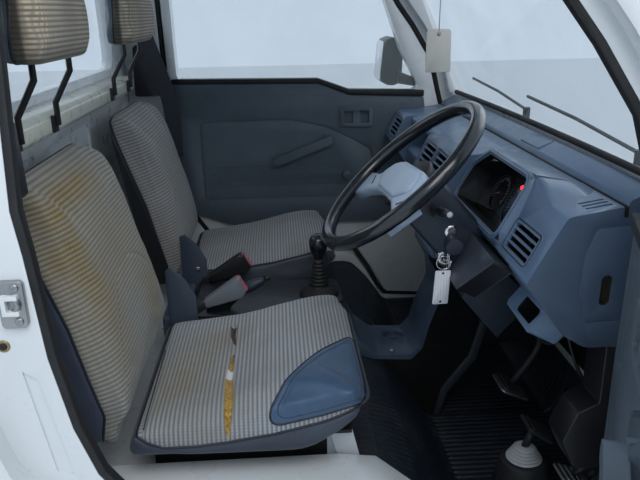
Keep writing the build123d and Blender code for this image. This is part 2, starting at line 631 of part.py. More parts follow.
# Steering wheel: round rim, silver pad with two low spokes, boss and shaft
cos_tilt = math.cos(math.radians(WHEEL_TILT))
sin_tilt = math.sin(math.radians(WHEEL_TILT))
wheel_plane = Plane(origin=WHEEL_AT, x_dir=(cos_tilt, 0, sin_tilt), z_dir=(-sin_tilt, 0, cos_tilt))
RIM_SIDES = 32
outer_levels = []
inner_levels = []
for i in range(SMALL_SIDES // 2):
    angle = 2 * math.pi * (i + 0.5) / SMALL_SIDES
    outer_levels.append((RIM_R + RIM_THICK * math.sin(angle), -RIM_THICK * math.cos(angle)))
    inner_levels.append((RIM_R - RIM_THICK * math.sin(angle), -RIM_THICK * math.cos(angle)))
rim = turned(outer_levels, RIM_SIDES) - turned(inner_levels, RIM_SIDES)
half_pad = [(30, 0), (30, 60, 20), (20, 87, 20), (-18, 112, 30), (-26, 172), (-88, 151), (-62, 108, 30),
            (-47, 58, 20), (-45, 0)]
pad_outline = half_pad + [(p[0], -p[1]) + p[2:] for p in half_pad[-2:0:-1]]
PAD_TOP_DROP = 5.0
PAD_DEEP = 20.0
pad_face = ring(pad_outline, lambda u, v: (u, v, -PAD_TOP_DROP - PAD_DEEP))
pad = extrude(pad_face, amount=PAD_DEEP, dir=(0, 0, 1))
raised = [(24, 0), (24, 56, 14), (14, 80, 14), (-16, 98, 14), (-40, 58, 14), (-40, 0)]
raised = raised + [(p[0], -p[1]) + p[2:] for p in raised[-2:0:-1]]
pad += extrude(ring(raised, lambda u, v: (u, v, -PAD_TOP_DROP - 1)), amount=5, dir=(0, 0, 1))
boss = turned([(38, -47), (52, -36), (56, -20)])
SHAFT_R = 10.0
shaft = turned([(SHAFT_R, -96), (SHAFT_R, -40)], SMALL_SIDES)
wheel = rim + pad + boss + shaft
keep("steering_wheel", wheel_plane * (Rot(0, 0, WHEEL_TURN) * wheel))

# Column cover, with its lower shroud, lock and two stalks
cover_face = ring([(-46, -46, 16), (50, -40, 22), (50, 40, 22), (-46, 46, 16)], lambda u, v: (u, v, -190))
column = extrude(cover_face, amount=137, dir=(0, 0, 1))
column += turned([(22, -315), (22, -185)])
column -= turned([(SHAFT_R + 2 * FIT, -115), (SHAFT_R + 2 * FIT, -35)])
column += Pos(-12, -56, -150) * Rot(90, 0, 0) * turned([(15, -13), (15, 13)])
for way in (1, -1):
    column += bar([(4, way * 40, -76), (12, way * 100, -70), (20, way * 160, -60)], 7, 6)
column = wheel_plane * column
column += prism_y([(785, 419), (800, 480), (860, 470), (908, 424), (889, 371), (856, 334)], -357, -267)
keep("steering_column", column - dash)

# Seats: cushions, backs and the boxes under them with a white latch leg each
cushion_side = [(CUSHION_REAR, 298, 20), (400, 318, 300), (560, 344, 30),
                (CUSHION_FRONT, 318, 25), (584, 296, 15), (470, 250, 15), (CUSHION_REAR, 256, 10)]
back_side = [(181.6, 262, 0), (181.6, 299.5, 0), (207, 322, 25), (172, 480, 200), (112, 690, 25),
             (84, 716, 20), (34, 712, 20), (62, 520, 80), (98, 300, 20), (104, 262, 10)]
bases = []
for name, low, high in (("driver", -SEAT_FAR, -SEAT_NEAR), ("passenger", SEAT_NEAR, SEAT_FAR - 20)):
    cushion = prism_y(cushion_side, low, high)
    cushion &= prism_z([(CUSHION_REAR - 5, low, 20), (CUSHION_REAR - 5, high, 20),
                        (CUSHION_FRONT + 5, high, 45), (CUSHION_FRONT + 5, low, 45)], 200, 400)
    keep(name + "_cushion", cushion)
    rest = prism_y(back_side, low, high)
    rest &= prism_x([(low, 255, 20), (high, 255, 20), (high, 720, 70), (low, 720, 70)], 0, 300)
    rest -= cushion
    keep(name + "_back", rest)
    bases.append(box(215, 540, low + 70, high - 60, MIDDLE_Z, 249.5))
    leg_y = low + 56 if low < 0 else high - 70
    bases.append(prism_y([(520, 249.5), (540, MIDDLE_Z), (578, MIDDLE_Z), (560, 249.5)], leg_y, leg_y + 14))
    bases.append(box(520, 560, leg_y - 10, leg_y + 70 if low < 0 else leg_y + 24, 243, 249.5))
    if low > 0:
        bases.append(box(520, 560, leg_y - 70, leg_y, 243, 249.5))
    hinge_y = high + 8 if low < 0 else low - 16
    disc = [(196, 236), (259, 240), (259, 345, 20), (238, 385, 40), (196, 425, 30)]
    bases.append(prism_y(disc, hinge_y, hinge_y + 8))
    seat_middle = (low + high) / 2
    bases.append(box(205, 245, min(hinge_y, seat_middle), max(hinge_y + 8, seat_middle), 225, 249.5))
keep("seat_bases", joined(bases))

# Head restraints on bent rods bolted to the cross-member
posts = []
pads = []
sockets = []
ROD_R = 5.5
for rods, low, high in (((-265, -455), -513, -237), ((195, 389), 130, 440)):
    for y in rods:
        foot = box(MEMBER_X, MEMBER_X + 6, y - 11, y + 11, MEMBER_LOW + 8, MEMBER_HIGH - 4)
        way = [(MEMBER_X + 9, y, MEMBER_LOW + 20), (MEMBER_X + 9, y, 790), (92, y, 845), (92, y, 880)]
        posts.append(foot + bar(way, ROD_R, 6))
        sockets.append(Pos(92, y, 0) * turned([(ROD_R + FIT, 830), (ROD_R + FIT, 880.3)], SMALL_SIDES))
    pad = prism_y([(58, 864, 12), (126, 860, 12), (138, 900), (138, 960), (118, 1022, 12), (70, 1024, 12)],
                  low, high)
    pad &= prism_x([(low, 855, 30), (high, 855, 30), (high, 1030, 40), (low, 1030, 40)], 0, 300)
    pads.append(pad)
pads = joined(pads)
for socket in sockets:
    pads -= socket
keep("headrest_rods", joined(posts))
keep("headrest_pads", pads)

# Console between the seats, its bolted ledge, and the strut that carries it to the dash
# on the driver's side of the middle
CONSOLE_HALF = 106.0
CONSOLE_FAR = 52.0
console_side = [(232, MIDDLE_Z), (240, 292, 12), (585, 284, 20), (622, 208, 20), (664, 174, 14),
                (742, 170, 16), (764, 196, 20), (778, 245, 30), (806, 312, 40), (800, 372, 20),
                (776, 408), (776, 424), (905, 424), (913, 251), (890, 160), (826, 76), (800, 0),
                (786, 0), (760, 32), (724, 86), (672, MIDDLE_Z - 24), (610, MIDDLE_Z)]
console = prism_y(console_side, -CONSOLE_HALF, CONSOLE_FAR)
console += prism_y([(232, MIDDLE_Z), (240, 292, 12), (585, 284, 20), (604, 240), (608, MIDDLE_Z)],
                   CONSOLE_FAR, CONSOLE_HALF)
console -= Pos(716, 0, 0) * turned([(26, 160), (26, 175)])
console += Pos(716, 0, 0) * turned([(9, 158), (9, 166)], SMALL_SIDES)
keep("centre_console", console - pan - dash)

# Gear lever: boot, shaft and block knob
boot = turned([(56, 289), (41, 304), (37, 306), (16, 352)], SMALL_SIDES)
lever = box(492, 594, -51, 51, 283, 289.5) + Pos(544, 0, 0) * boot
lever += bar([(545, 0, 340), (536, 0, 415)], 7)
knob = prism_y([(518, 408, 8), (550, 412, 8), (553, 452, 12), (514, 450, 12)], -17, 17)
knob &= prism_x([(-17, 400, 8), (17, 400, 8), (15, 455, 10), (-15, 455, 10)], 500, 570)
keep("gear_lever", lever + knob - console)

# Handbrake beside the driver's seat
handbrake = bar([(300, -76, 284), (335, -72, 312), (400, -66, 332)], 8)
handbrake += bar([(395, -66.5, 331), (480, -60, 352)], 14)
handbrake += box(275, 330, -84, -68, 280, 300)
keep("handbrake", handbrake - console)

# Pedals: the brake stands in a ribbed boot, clutch and accelerator hang from above
BOOT_R = 58.0
pedals = [turned([(BOOT_R, 0), (BOOT_R, 10), (46, 58), (40, 62)]),
          turned([(34, 60), (36, 66), (31, 69), (32, 75), (27, 78), (27, 84), (18, 92)], 12)]
pedals = [Pos(925, -370, 6) * piece for piece in pedals]
pedals.append(bar([(925, -370, 90), (940, -370, 132)], 9))
brake_pad = [(912, 150), (930, 160), (974, 128), (964, 112)]
pedals.append(prism_y(brake_pad, -402, -342, 4))
pedals.append(prism_y([(900, 172), (914, 184), (966, 160), (958, 146)], -280, -205, 4))
pedals.append(bar([(938, -240, 168), (985, -240, 236), (1010, -240, 330), (1040, -240, 525)], 8))
pedals.append(prism_y([(938, 124), (948, 138), (1006, 118), (998, 102)], -520, -462, 4))
pedals.append(bar([(976, -490, 118), (1026, -490, 160), (1060, -490, 300), (1066, -490, 470)], 7))
keep("pedals", joined(pedals) - dash)

# Rubber mat on the foot floor
mat_half = INNER - 42.0
mat = box(FOOT_X + 14, TOE_X - 8, -mat_half, mat_half, 0, 6) - console
mat -= Pos(925, -370, 0) * turned([(BOOT_R + 1, -1), (BOOT_R + 1, 8)])
keep("floor_mat", mat)

# Heater box under the dash, with the duct on the driver's side
heater = box(905, 1080, -CONSOLE_HALF, 200, 190, 424) - console
duct = prism_y([(905, 245, 10), (926, 300, 10), (960, 318, 10), (1010, 299), (1012, 192), (930, 192, 12)],
               -574, -508)
duct += box(960, 1010, -574, -508, 290, 432)
keep("heater_box", (heater + duct) - dash)

# Buckles on their stalks beside the seats
buckles = []
for y, x, z in ((-118, 311, 303), (116, 338, 371)):
    side_y = math.copysign(112, y)
    head = prism_y([(x - 34, z - 14, 4), (x + 30, z + 16, 5), (x + 16, z + 44, 5), (x - 46, z + 14, 4)],
                   side_y - 13, side_y + 13)
    stem = prism_y([(x - 44, z + 4), (x - 24, z + 14), (x - 50, 262), (x - 70, 262)], side_y - 6, side_y + 6)
    buckles.append(head + stem)
keep("buckles", joined(buckles) - done["seat_bases"] - console)

# Belt fittings on the pillars: retractor covers and upper guides
fittings = prism_y([(28, 702, 8), (109, 702, 8), (106, 800), (80, 850, 12), (34, 850, 12)],
                   HALF - 62, HALF - 2)
fittings &= slab(-80, WALL_IN)
fittings += slab(WALL_IN - 26, WALL_IN) & through([(42, 888), (100, 888), (88, 958), (52, 958)], 6)
keep("belt_fittings", both(fittings))
# The passenger's belt is drawn forward, the driver's hangs down by the pillar
web_slot = slab(WALL_IN - 64, WALL_IN - 24) & through([(52, 896), (92, 896), (92, 904), (52, 904)])
web_flat = slab(WALL_IN - 64, WALL_IN - 61)
drawn_web = web_flat & through([(48, 900), (95, 900), (158, 684), (158, 520), (112, 520), (112, 684)])
hanging_web = web_flat & through(rectangle(46, 93, 520, 900))
keep("belt_webbing", (drawn_web + web_slot - fittings) + other(hanging_web + web_slot - fittings))

# Sun visors and the inside mirror
visors = []
visor_x = SCREEN_HEAD_X - 42.0
for low, high in ((-520, -90), (90, 520)):
    visors.append(prism_y([(visor_x - 6, DOOR_TOP - 20), (visor_x + 4, DOOR_TOP - 14),
                           (visor_x - 32, DOOR_TOP + 6), (620, DOOR_TOP + 26), (618, DOOR_TOP + 16),
                           (700, DOOR_TOP - 2)], low, high))
    for y in (low + 40, high - 40):
        visors.append(bar([(visor_x, y, DOOR_TOP - 18), (visor_x + 4, y, DOOR_TOP + 20)], 5, 6) - roof)
keep("sun_visors", joined(visors))
mirror_head = prism_y([(800, 1040, 8), (822, 1040, 12), (826, 1085, 12), (802, 1090, 8)], -105, 105)
keep("interior_mirror", mirror_head + (bar([(815, 0, 1070), (856, 0, 1088)], 7) - screen))

# Doors, drawn shut on the left side
skin_line = grown(SHUT, -DOOR_GAP)
box_line = grown(OPENING, -SEAL_WIDTH - DOOR_GAP)
shell = slab(SKIN_IN) & through(skin_line, 14)
shell += slab(BOX_IN, SKIN_IN) & through(box_line, 10)
shell -= through(WINDOW, 14)
# Latch pocket and outer handle
shell -= slab(BOX_IN + 10, SKIN_IN + 14) & through([(60, 528), (121, 528), (121, 622), (60, 622)])
handle = slab(SKIN_WAIST - 10, SKIN_WAIST + 20) & through(rectangle(160, 300, 640, 676), 12)
handle -= slab(SKIN_WAIST - 2, SKIN_WAIST + 12) & through(rectangle(176, 270, 630, 668))
shell += handle
pane = slab(2, 7) & through(grown(WINDOW, -FIT), 14 - FIT)
trim_line = [(160, 330, 20), (150, 420), (135, 640), (133, 733, 10), (579, 726), (674, 690),
             (905, 680, 10), (930, 500), (930, 283, 20), (300, 283)]
panel_line = [(209, 620, 25), (489, 622), (600, 596), (688, 556), (746, 520, 25), (757, 367, 30),
              (209, 367, 30)]
TRIM_STEP = 4.0
trim = slab(TRIM_IN, BOX_IN - FIT) & through(trim_line)
trim -= slab(TRIM_IN - 1, TRIM_IN + TRIM_STEP) & (through(panel_line) - through(grown(panel_line, -7)))
strip_z = [411 + 7.6 * i for i in range(9)]
trim -= slab(TRIM_IN - 1, TRIM_IN + 2) & joined([through(rectangle(231, 663, z, z + 2.4)) for z in strip_z])
trim += slab(TRIM_IN - 40, TRIM_IN - 18) & through([(438, 478), (620, 546), (612, 570), (430, 502)], 10)
for x, z in ((446, 492), (604, 555)):
    trim += slab(TRIM_IN - 20, TRIM_IN + 1) & through(rectangle(x - 14, x + 14, z - 12, z + 12))
handle_plate = [(643, 592, 8), (746, 590, 8), (746, 652, 8), (643, 655, 8)]
trim += slab(TRIM_IN - 9, TRIM_IN + 1) & through(handle_plate)
trim -= slab(TRIM_IN - 10, TRIM_IN + 9) & through(rectangle(656, 734, 604, 641), 5)
trim += slab(TRIM_IN - 7, TRIM_IN + 10) & through(rectangle(684, 706, 603, 642))
trim += bar([(663, HALF + TRIM_IN + 1, 445), (663, HALF + TRIM_IN - 34, 445)], 13, 12)
mirror_box = prism_y([(786, 704, 25), (856, 700, 25), (862, 850, 30), (800, 852, 30)],
                     HALF + 78, HALF + 230)
arm = prism_y([(838, 712), (902, 700), (898, 726), (842, 748)], HALF + 30, HALF + 90) - shell
HINGE_X = max(p[0] for p in skin_line) + DOOR_GAP / 2
HINGE_Y = SKIN + 1.5


def knuckle(low, high, radius):
    # A barrel on the hinge line between two heights.
    return Pos(HINGE_X, HINGE_Y, 0) * turned([(radius, low), (radius, high)], SMALL_SIDES)


for z in HINGE_HEIGHTS:
    notch = KNUCKLE + FIT * 0.6
    shell -= knuckle(z - 31, z + 31, HINGE_R + 5)
    side_left -= knuckle(z - notch, z + notch, HINGE_R + 1.5)
    side_left -= box(HINGE_X - 17, HINGE_X, HINGE_Y - 13, HINGE_Y + 4, z - notch, z + notch)
for z in HINGE_HEIGHTS:
    shell += knuckle(z - KNUCKLE, z + KNUCKLE, HINGE_R)
    shell += box(HINGE_X - 16, HINGE_X, HINGE_Y - 12, HINGE_Y + 3, z - KNUCKLE, z + KNUCKLE)
    for low in (z - 28, z + notch):
        side_left += knuckle(low, low + 15.7, HINGE_R)
        side_left += box(HINGE_X, HINGE_X + 12, HINGE_Y - 12, HINGE_Y + 3, low, low + 15.7)
# Striker on the door post
striker = slab(FLANGE_OUT - 1, FLANGE_OUT + 6) & through(rectangle(78, 109, 542, 607), 6)
loop = through(rectangle(82, 104, 562, 590)) - through(rectangle(88, 104.5, 568, 584))
striker += slab(FLANGE_OUT, FLANGE_OUT + 16) & loop
side_left += striker
keep("side_frame_left", side_left)
keep("side_frame_right", other(side_left))
keep("door_left_shell", shell)
keep("door_left_glass", pane)
keep("door_left_trim", trim)
keep("door_left_mirror", mirror_box + arm)
open_way = Pos(HINGE_X, -HINGE_Y, 0) * Rot(0, 0, DOOR_REST) * Pos(-HINGE_X, HINGE_Y, 0)
for name in ("shell", "glass", "trim", "mirror"):
    keep("door_right_" + name, open_way * other(done["door_left_" + name]))

for name, shape in done.items():
    placed = Pos(-MOUNT_X, 0, MOUNT_DROP) * shape
    export_step(placed, "parts/" + name + ".step")
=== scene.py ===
import json
import math
import random

import bpy
import numpy as np
from mathutils import Matrix, Vector


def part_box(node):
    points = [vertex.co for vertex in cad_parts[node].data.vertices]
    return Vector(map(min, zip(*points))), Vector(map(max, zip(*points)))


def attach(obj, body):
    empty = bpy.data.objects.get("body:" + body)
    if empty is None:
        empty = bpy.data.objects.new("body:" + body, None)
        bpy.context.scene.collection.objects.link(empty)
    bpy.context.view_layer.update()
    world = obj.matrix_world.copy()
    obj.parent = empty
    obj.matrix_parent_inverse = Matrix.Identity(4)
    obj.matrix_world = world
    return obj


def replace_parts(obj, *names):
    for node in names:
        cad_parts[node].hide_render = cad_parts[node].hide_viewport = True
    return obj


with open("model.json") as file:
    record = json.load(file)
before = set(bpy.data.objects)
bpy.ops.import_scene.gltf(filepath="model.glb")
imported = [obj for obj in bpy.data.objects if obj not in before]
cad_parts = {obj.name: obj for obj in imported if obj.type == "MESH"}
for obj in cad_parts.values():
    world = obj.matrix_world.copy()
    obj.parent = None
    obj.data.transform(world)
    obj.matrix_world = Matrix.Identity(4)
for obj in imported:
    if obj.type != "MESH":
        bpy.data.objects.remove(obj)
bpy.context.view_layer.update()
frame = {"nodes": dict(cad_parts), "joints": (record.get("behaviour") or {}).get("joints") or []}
nodes = frame["nodes"]

# The part is drawn in millimetres from the rear wall's inner face and the foot floor.
DRAWN_X = 560.0
DRAWN_Z = 130.0


def at(x, y, z):
    """A point of the drawing, in metres in the row frame."""
    return Vector(((x - DRAWN_X) / 1000, y / 1000, (z + DRAWN_Z) / 1000))


# The dashboard leans: places on it go across (y), up its face (rise) and away from it (out).
FACE_LEAN = math.radians(27.4)
FACE_UP = Vector((math.sin(FACE_LEAN), 0, math.cos(FACE_LEAN)))
FACE_OUT = Vector((-math.cos(FACE_LEAN), 0, math.sin(FACE_LEAN)))
POD_OUT = 45.0
HOOD_OUT = 14.0


def face_point(y, rise, out=0.0):
    """A point of the dashboard's face in drawing millimetres."""
    return Vector((816.0, y, 538.0)) + FACE_UP * rise + FACE_OUT * out


def on_face(y, rise, out=0.0):
    return at(*face_point(y, rise, out))


# materials

SLATE = (0.108, 0.168, 0.262)


class Look:
    """A material built from nodes around one Principled shader."""

    def __init__(self, name, rough=0.5, metal=0.0, coat=0.0, sheen=0.0, specular=0.5):
        self.material = bpy.data.materials.new(name)
        self.material.use_nodes = True
        self.tree = self.material.node_tree
        self.shader = self.tree.nodes["Principled BSDF"]
        self.fill(self.shader, Metallic=metal, Roughness=rough, Coat_Weight=coat, Coat_Roughness=0.12,
                  Sheen_Weight=sheen, Sheen_Roughness=0.5, Specular_IOR_Level=specular)
        self.place = self.tree.nodes.new("ShaderNodeTexCoord").outputs["Object"]
        self.normal = None

    def put(self, socket, value):
        """Links a socket to a value made by a node, or sets it to a number or colour."""
        if isinstance(value, bpy.types.NodeSocket):
            self.tree.links.new(value, socket)
        else:
            socket.default_value = (*value, 1.0) if socket.type == "RGBA" else value

    def fill(self, node, **inputs):
        for key, value in inputs.items():
            self.put(node.inputs[key.replace("_", " ")], value)

    def node(self, kind, **inputs):
        made = self.tree.nodes.new(kind)
        self.fill(made, **inputs)
        return made

    def noise(self, scale, detail=4.0, rough=0.55, place=None):
        return self.node("ShaderNodeTexNoise", Vector=place or self.place, Scale=scale, Detail=detail,
                         Roughness=rough).outputs["Fac"]

    def grain(self, scale):
        return self.node("ShaderNodeTexVoronoi", Vector=self.place, Scale=scale).outputs["Distance"]

    def bands(self, axis, pitch):
        """Parallel bands across an axis, one each pitch metres, from 0 to 1."""
        made = self.node("ShaderNodeTexWave", Vector=self.place, Scale=1.0 / (pitch * 3.1831), Distortion=0.0)
        made.wave_profile = "SIN"
        made.bands_direction = axis
        return made.outputs["Fac"]

    def math(self, operation, a, b=0.0, clamp=False):
        made = self.tree.nodes.new("ShaderNodeMath")
        made.operation = operation
        made.use_clamp = clamp
        self.put(made.inputs[0], a)
        self.put(made.inputs[1], b)
        return made.outputs[0]

    def times(self, first, *others, clamp=False):
        for value in others:
            first = self.math("MULTIPLY", first, value, clamp)
        return first

    def ramp(self, value, low, high, a=0.0, b=1.0):
        return self.node("ShaderNodeMapRange", Value=value, From_Min=low, From_Max=high, To_Min=a,
                         To_Max=b).outputs["Result"]

    def cloud(self, scale, low, high, detail=4.0, a=0.0, b=1.0, rough=0.55, place=None):
        """Noise brought from the range low to high to the range a to b."""
        return self.ramp(self.noise(scale, detail, rough, place), low, high, a, b)

    def mix(self, share, a, b):
        made = self.tree.nodes.new("ShaderNodeMix")
        made.data_type = "RGBA"
        for i, value in ((0, share), (6, a), (7, b)):
            self.put(made.inputs[i], value)
        return made.outputs[2]

    def blotched(self, scale, a, b, detail=5.0):
        """Two colours in soft patches."""
        return self.mix(self.cloud(scale, 0.35, 0.7, detail), a, b)

    def attribute(self, name):
        """A number kept on the mesh, one per vertex."""
        made = self.tree.nodes.new("ShaderNodeAttribute")
        made.attribute_name = name
        return made.outputs["Fac"]

    def ripple(self, name, pitch):
        """Waves from 0 to 1 over an attribute in metres, one each pitch metres."""
        turned = self.math("SINE", self.times(self.attribute(name), 2 * math.pi / pitch))
        return self.ramp(turned, -1.0, 1.0)

    def height(self):
        return self.node("ShaderNodeSeparateXYZ", Vector=self.place).outputs[2]

    def plane(self, normal, point, sharp=0.0004):
        """1 in front of a plane through a point of the drawing, 0 behind it."""
        made = self.tree.nodes.new("ShaderNodeVectorMath")
        made.operation = "DOT_PRODUCT"
        self.put(made.inputs[0], self.place)
        self.put(made.inputs[1], normal)
        edge = normal.dot(at(*point))
        return self.ramp(made.outputs["Value"], edge - sharp, edge + sharp)

    def within(self, planes):
        """1 inside all of some planes, each given as its normal and a point."""
        return self.times(*[self.plane(normal, point) for normal, point in planes])

    def color(self, value):
        self.put(self.shader.inputs["Base Color"], value)

    def rough(self, value):
        self.put(self.shader.inputs["Roughness"], value)

    def bump(self, height, strength, depth=0.001):
        made = self.node("ShaderNodeBump", Height=height, Strength=strength, Distance=depth)
        self.put(self.shader.inputs["Normal"], made.outputs["Normal"])


def toned(color, share):
    """A colour made darker or lighter."""
    return tuple(c * share for c in color)


def plain(name, color, rough=0.5, metal=0.0, coat=0.0, grain=600.0, deep=0.15, wear=0.25, specular=0.5):
    """Moulded or painted surface: slight colour change, grain and uneven gloss."""
    look = Look(name, rough, metal, coat, specular=specular)
    look.color(look.blotched(9.0, color, toned(color, 1.0 - wear)))
    look.rough(look.cloud(26.0, 0.3, 0.7, a=rough * 0.85, b=min(1.0, rough * 1.2)))
    look.bump(look.grain(grain), deep, 0.0004)
    return look.material


def painted(name, color, amount=0.5):
    """White body paint with dust and streaks that gather low down, and small spots of rust."""
    look = Look(name, 0.3, coat=0.6)
    specks = look.cloud(46.0, 0.6, 0.78, 8.0, rough=0.7)
    broad = look.cloud(5.0, 0.45, 0.75, 5.0)
    stretched = look.node("ShaderNodeMapping", Vector=look.place, Scale=(1, 1, 0.12)).outputs["Vector"]
    streaks = look.cloud(30.0, 0.55, 0.75, 3.0, place=stretched)
    dirt = look.math("MAXIMUM", look.times(specks, 0.6), look.times(streaks, broad))
    dirt = look.times(dirt, look.ramp(look.height(), 0.55, 0.1, 0.15, 0.9), amount)
    rust = look.times(look.ramp(look.grain(16.0), 0.045, 0.03), look.ramp(look.height(), 0.56, 0.5),
                      look.cloud(9.0, 0.56, 0.6))
    aged = look.mix(dirt, color, (0.42, 0.37, 0.28))
    look.color(look.mix(rust, aged, (0.13, 0.045, 0.016)))
    look.rough(look.cloud(18.0, 0.3, 0.7, a=0.22, b=0.42))
    look.bump(look.noise(220.0, 2.0), 0.04, 0.0004)
    return look.material


def glass(name, color, alpha):
    """Clear pane with a little haze."""
    look = Look(name, 0.03, specular=0.6)
    look.color(look.mix(look.noise(4.0), color, toned(color, 0.92)))
    look.put(look.shader.inputs["Alpha"], look.cloud(6.0, 0.4, 0.8, 6.0, alpha, alpha + 0.05, 0.6))
    return look.material


def seat_cloth(name, vinyl, light=(0.36, 0.345, 0.325), dark=(0.16, 0.16, 0.165)):
    """Ribbed seat cloth with a vinyl skirt; on the driver's cushion also a vinyl patch and a tear."""
    look = Look(name, 0.9, sheen=0.15, specular=0.35)
    rib = look.ramp(look.ripple("rib", 0.0076), 0.02, 0.8)
    woven = look.times(rib, look.ramp(look.ripple("thread", 0.0046), 0.0, 1.0, 0.72, 1.0))
    woven = look.times(woven, look.cloud(520.0, 0.3, 0.7, 3.0, 0.8, 1.1), clamp=True)
    cloth = look.mix(woven, dark, light)
    cloth = look.mix(look.times(look.cloud(7.0, 0.4, 0.7, 6.0), 0.4), cloth, (0.17, 0.15, 0.125))
    stain = (0.27, 0.20, 0.085)
    ragged = look.cloud(38.0, 0.2, 0.8, 6.0, 0.45, 1.25, 0.65)
    soiled = look.times(look.attribute("stain"), ragged, clamp=True)
    cloth = look.mix(soiled, cloth, look.mix(rib, toned(stain, 0.45), stain))
    skin = look.cloud(11.0, 0.35, 0.7, 5.0)
    crumb = look.cloud(170.0, 0.35, 0.65, 6.0, rough=0.7)
    near = look.attribute("near")
    foam = look.mix(crumb, (0.21, 0.115, 0.02), (0.56, 0.37, 0.10))
    # Painted shade: deeper in, where the tear narrows, the foam is darkened almost to black brown.
    foam = look.mix(look.ramp(near, 150.0, 215.0), foam, (0.035, 0.016, 0.006))
    scrap = look.times(look.ramp(near, 108.0, 112.0), look.ramp(near, 142.0, 137.0))
    foam = look.mix(scrap, foam, (0.66, 0.66, 0.68))
    on_skirt = look.ramp(look.attribute("skirt"), 0.6, -0.6)
    on_patch = look.ramp(look.attribute("patch"), -0.6, 0.6)
    in_tear = look.ramp(look.attribute("tear"), 0.8, -0.8)
    color = look.mix(on_skirt, cloth, look.mix(skin, vinyl, toned(vinyl, 1.5)))
    color = look.mix(on_patch, color, look.mix(skin, (0.040, 0.078, 0.142), (0.056, 0.105, 0.186)))
    look.color(look.mix(in_tear, color, foam))
    smooth = look.math("MAXIMUM", on_skirt, on_patch)
    look.rough(look.ramp(smooth, 0.0, 1.0, 0.92, 0.40))
    pile = look.times(woven, look.math("SUBTRACT", 1.0, smooth))
    leather = look.times(look.grain(420.0), look.times(smooth, 0.35))
    relief = look.math("ADD", look.math("ADD", pile, leather), look.times(crumb, in_tear))
    look.bump(relief, 0.55, 0.0012)
    return look.material


def head_cloth(name):
    """Checked cloth of the head restraints."""
    look = Look(name, 0.92, sheen=0.15, specular=0.3)
    check = look.times(look.ramp(look.ripple("rib", 0.0075), 0.2, 0.7),
                       look.ramp(look.ripple("thread", 0.0062), 0.1, 0.7, 0.45, 1.0))
    fibre = look.cloud(500.0, 0.3, 0.7, 3.0, 0.85, 1.15)
    cloth = look.mix(look.times(check, fibre), (0.24, 0.205, 0.16), (0.62, 0.53, 0.40))
    cloth = look.mix(look.times(look.cloud(9.0, 0.4, 0.7, 6.0), 0.4), cloth, (0.13, 0.115, 0.095))
    # Near black where the stain value is set, along each restraint's foot and rear.
    cloth = look.mix(look.attribute("stain"), cloth, (0.022, 0.021, 0.020))
    shell = look.ramp(look.attribute("skirt"), 0.6, -0.6)
    look.color(look.mix(shell, cloth, (0.075, 0.095, 0.125)))
    look.rough(look.ramp(shell, 0.0, 1.0, 0.92, 0.5))
    look.bump(look.times(check, look.math("SUBTRACT", 1.0, shell)), 0.5)
    return look.material


def webbing(name):
    """Woven seat belt."""
    look = Look(name, 0.6, sheen=0.2, specular=0.4)
    weave = look.times(look.bands("X", 0.0022), look.bands("Z", 0.0017))
    look.color(look.mix(look.ramp(weave, 0.0, 0.7), (0.018, 0.020, 0.026), (0.060, 0.066, 0.080)))
    look.bump(weave, 0.4, 0.0006)
    return look.material


def soiled_mat(name):
    """Black ribbed rubber with dust and scuffs trodden in."""
    look = Look(name, 0.55, specular=0.4)
    dust = look.cloud(7.0, 0.5, 0.78, 7.0, rough=0.65)
    fine = look.cloud(120.0, 0.55, 0.8, rough=0.7)
    crumbs = look.ramp(look.grain(75.0), 0.10, 0.05)
    color = look.mix(look.times(dust, 0.45), (0.012, 0.017, 0.025), (0.058, 0.058, 0.056))
    color = look.mix(look.times(fine, 0.25), color, (0.09, 0.08, 0.065))
    look.color(look.mix(look.times(crumbs, dust, 0.5), color, (0.14, 0.12, 0.09)))
    look.rough(look.ramp(dust, 0.0, 1.0, 0.42, 0.8))
    look.bump(look.noise(300.0, 3.0), 0.2, 0.0005)
    return look.material


def sides(**ranges):
    """Planes for Look.within at (low, high) along x, y or z of the drawing; None leaves a side open."""
    planes = []
    for axis, (low, high) in ranges.items():
        normal = Vector([float(axis == name) for name in "xyz"])
        if low is not None:
            planes.append((normal, normal * low))
        if high is not None:
            planes.append((-normal, normal * high))
    return planes


def band(y0, y1, rise0, rise1, out0, out1):
    """Planes for Look.within round a box on the dashboard's face."""
    return sides(y=(y0, y1)) + [(FACE_UP, face_point(0, rise0)), (-FACE_UP, face_point(0, rise1)),
                                (FACE_OUT, face_point(0, 0, out0)), (-FACE_OUT, face_point(0, 0, out1))]


def dusty(look, light, dark, dust_color):
    """Blotched slate with dust in places."""
    dust = look.times(look.cloud(60.0, 0.5, 0.8, 6.0, rough=0.7), look.cloud(4.0, 0.4, 0.7), 0.3)
    return look.mix(dust, look.blotched(6.0, light, dark), dust_color)


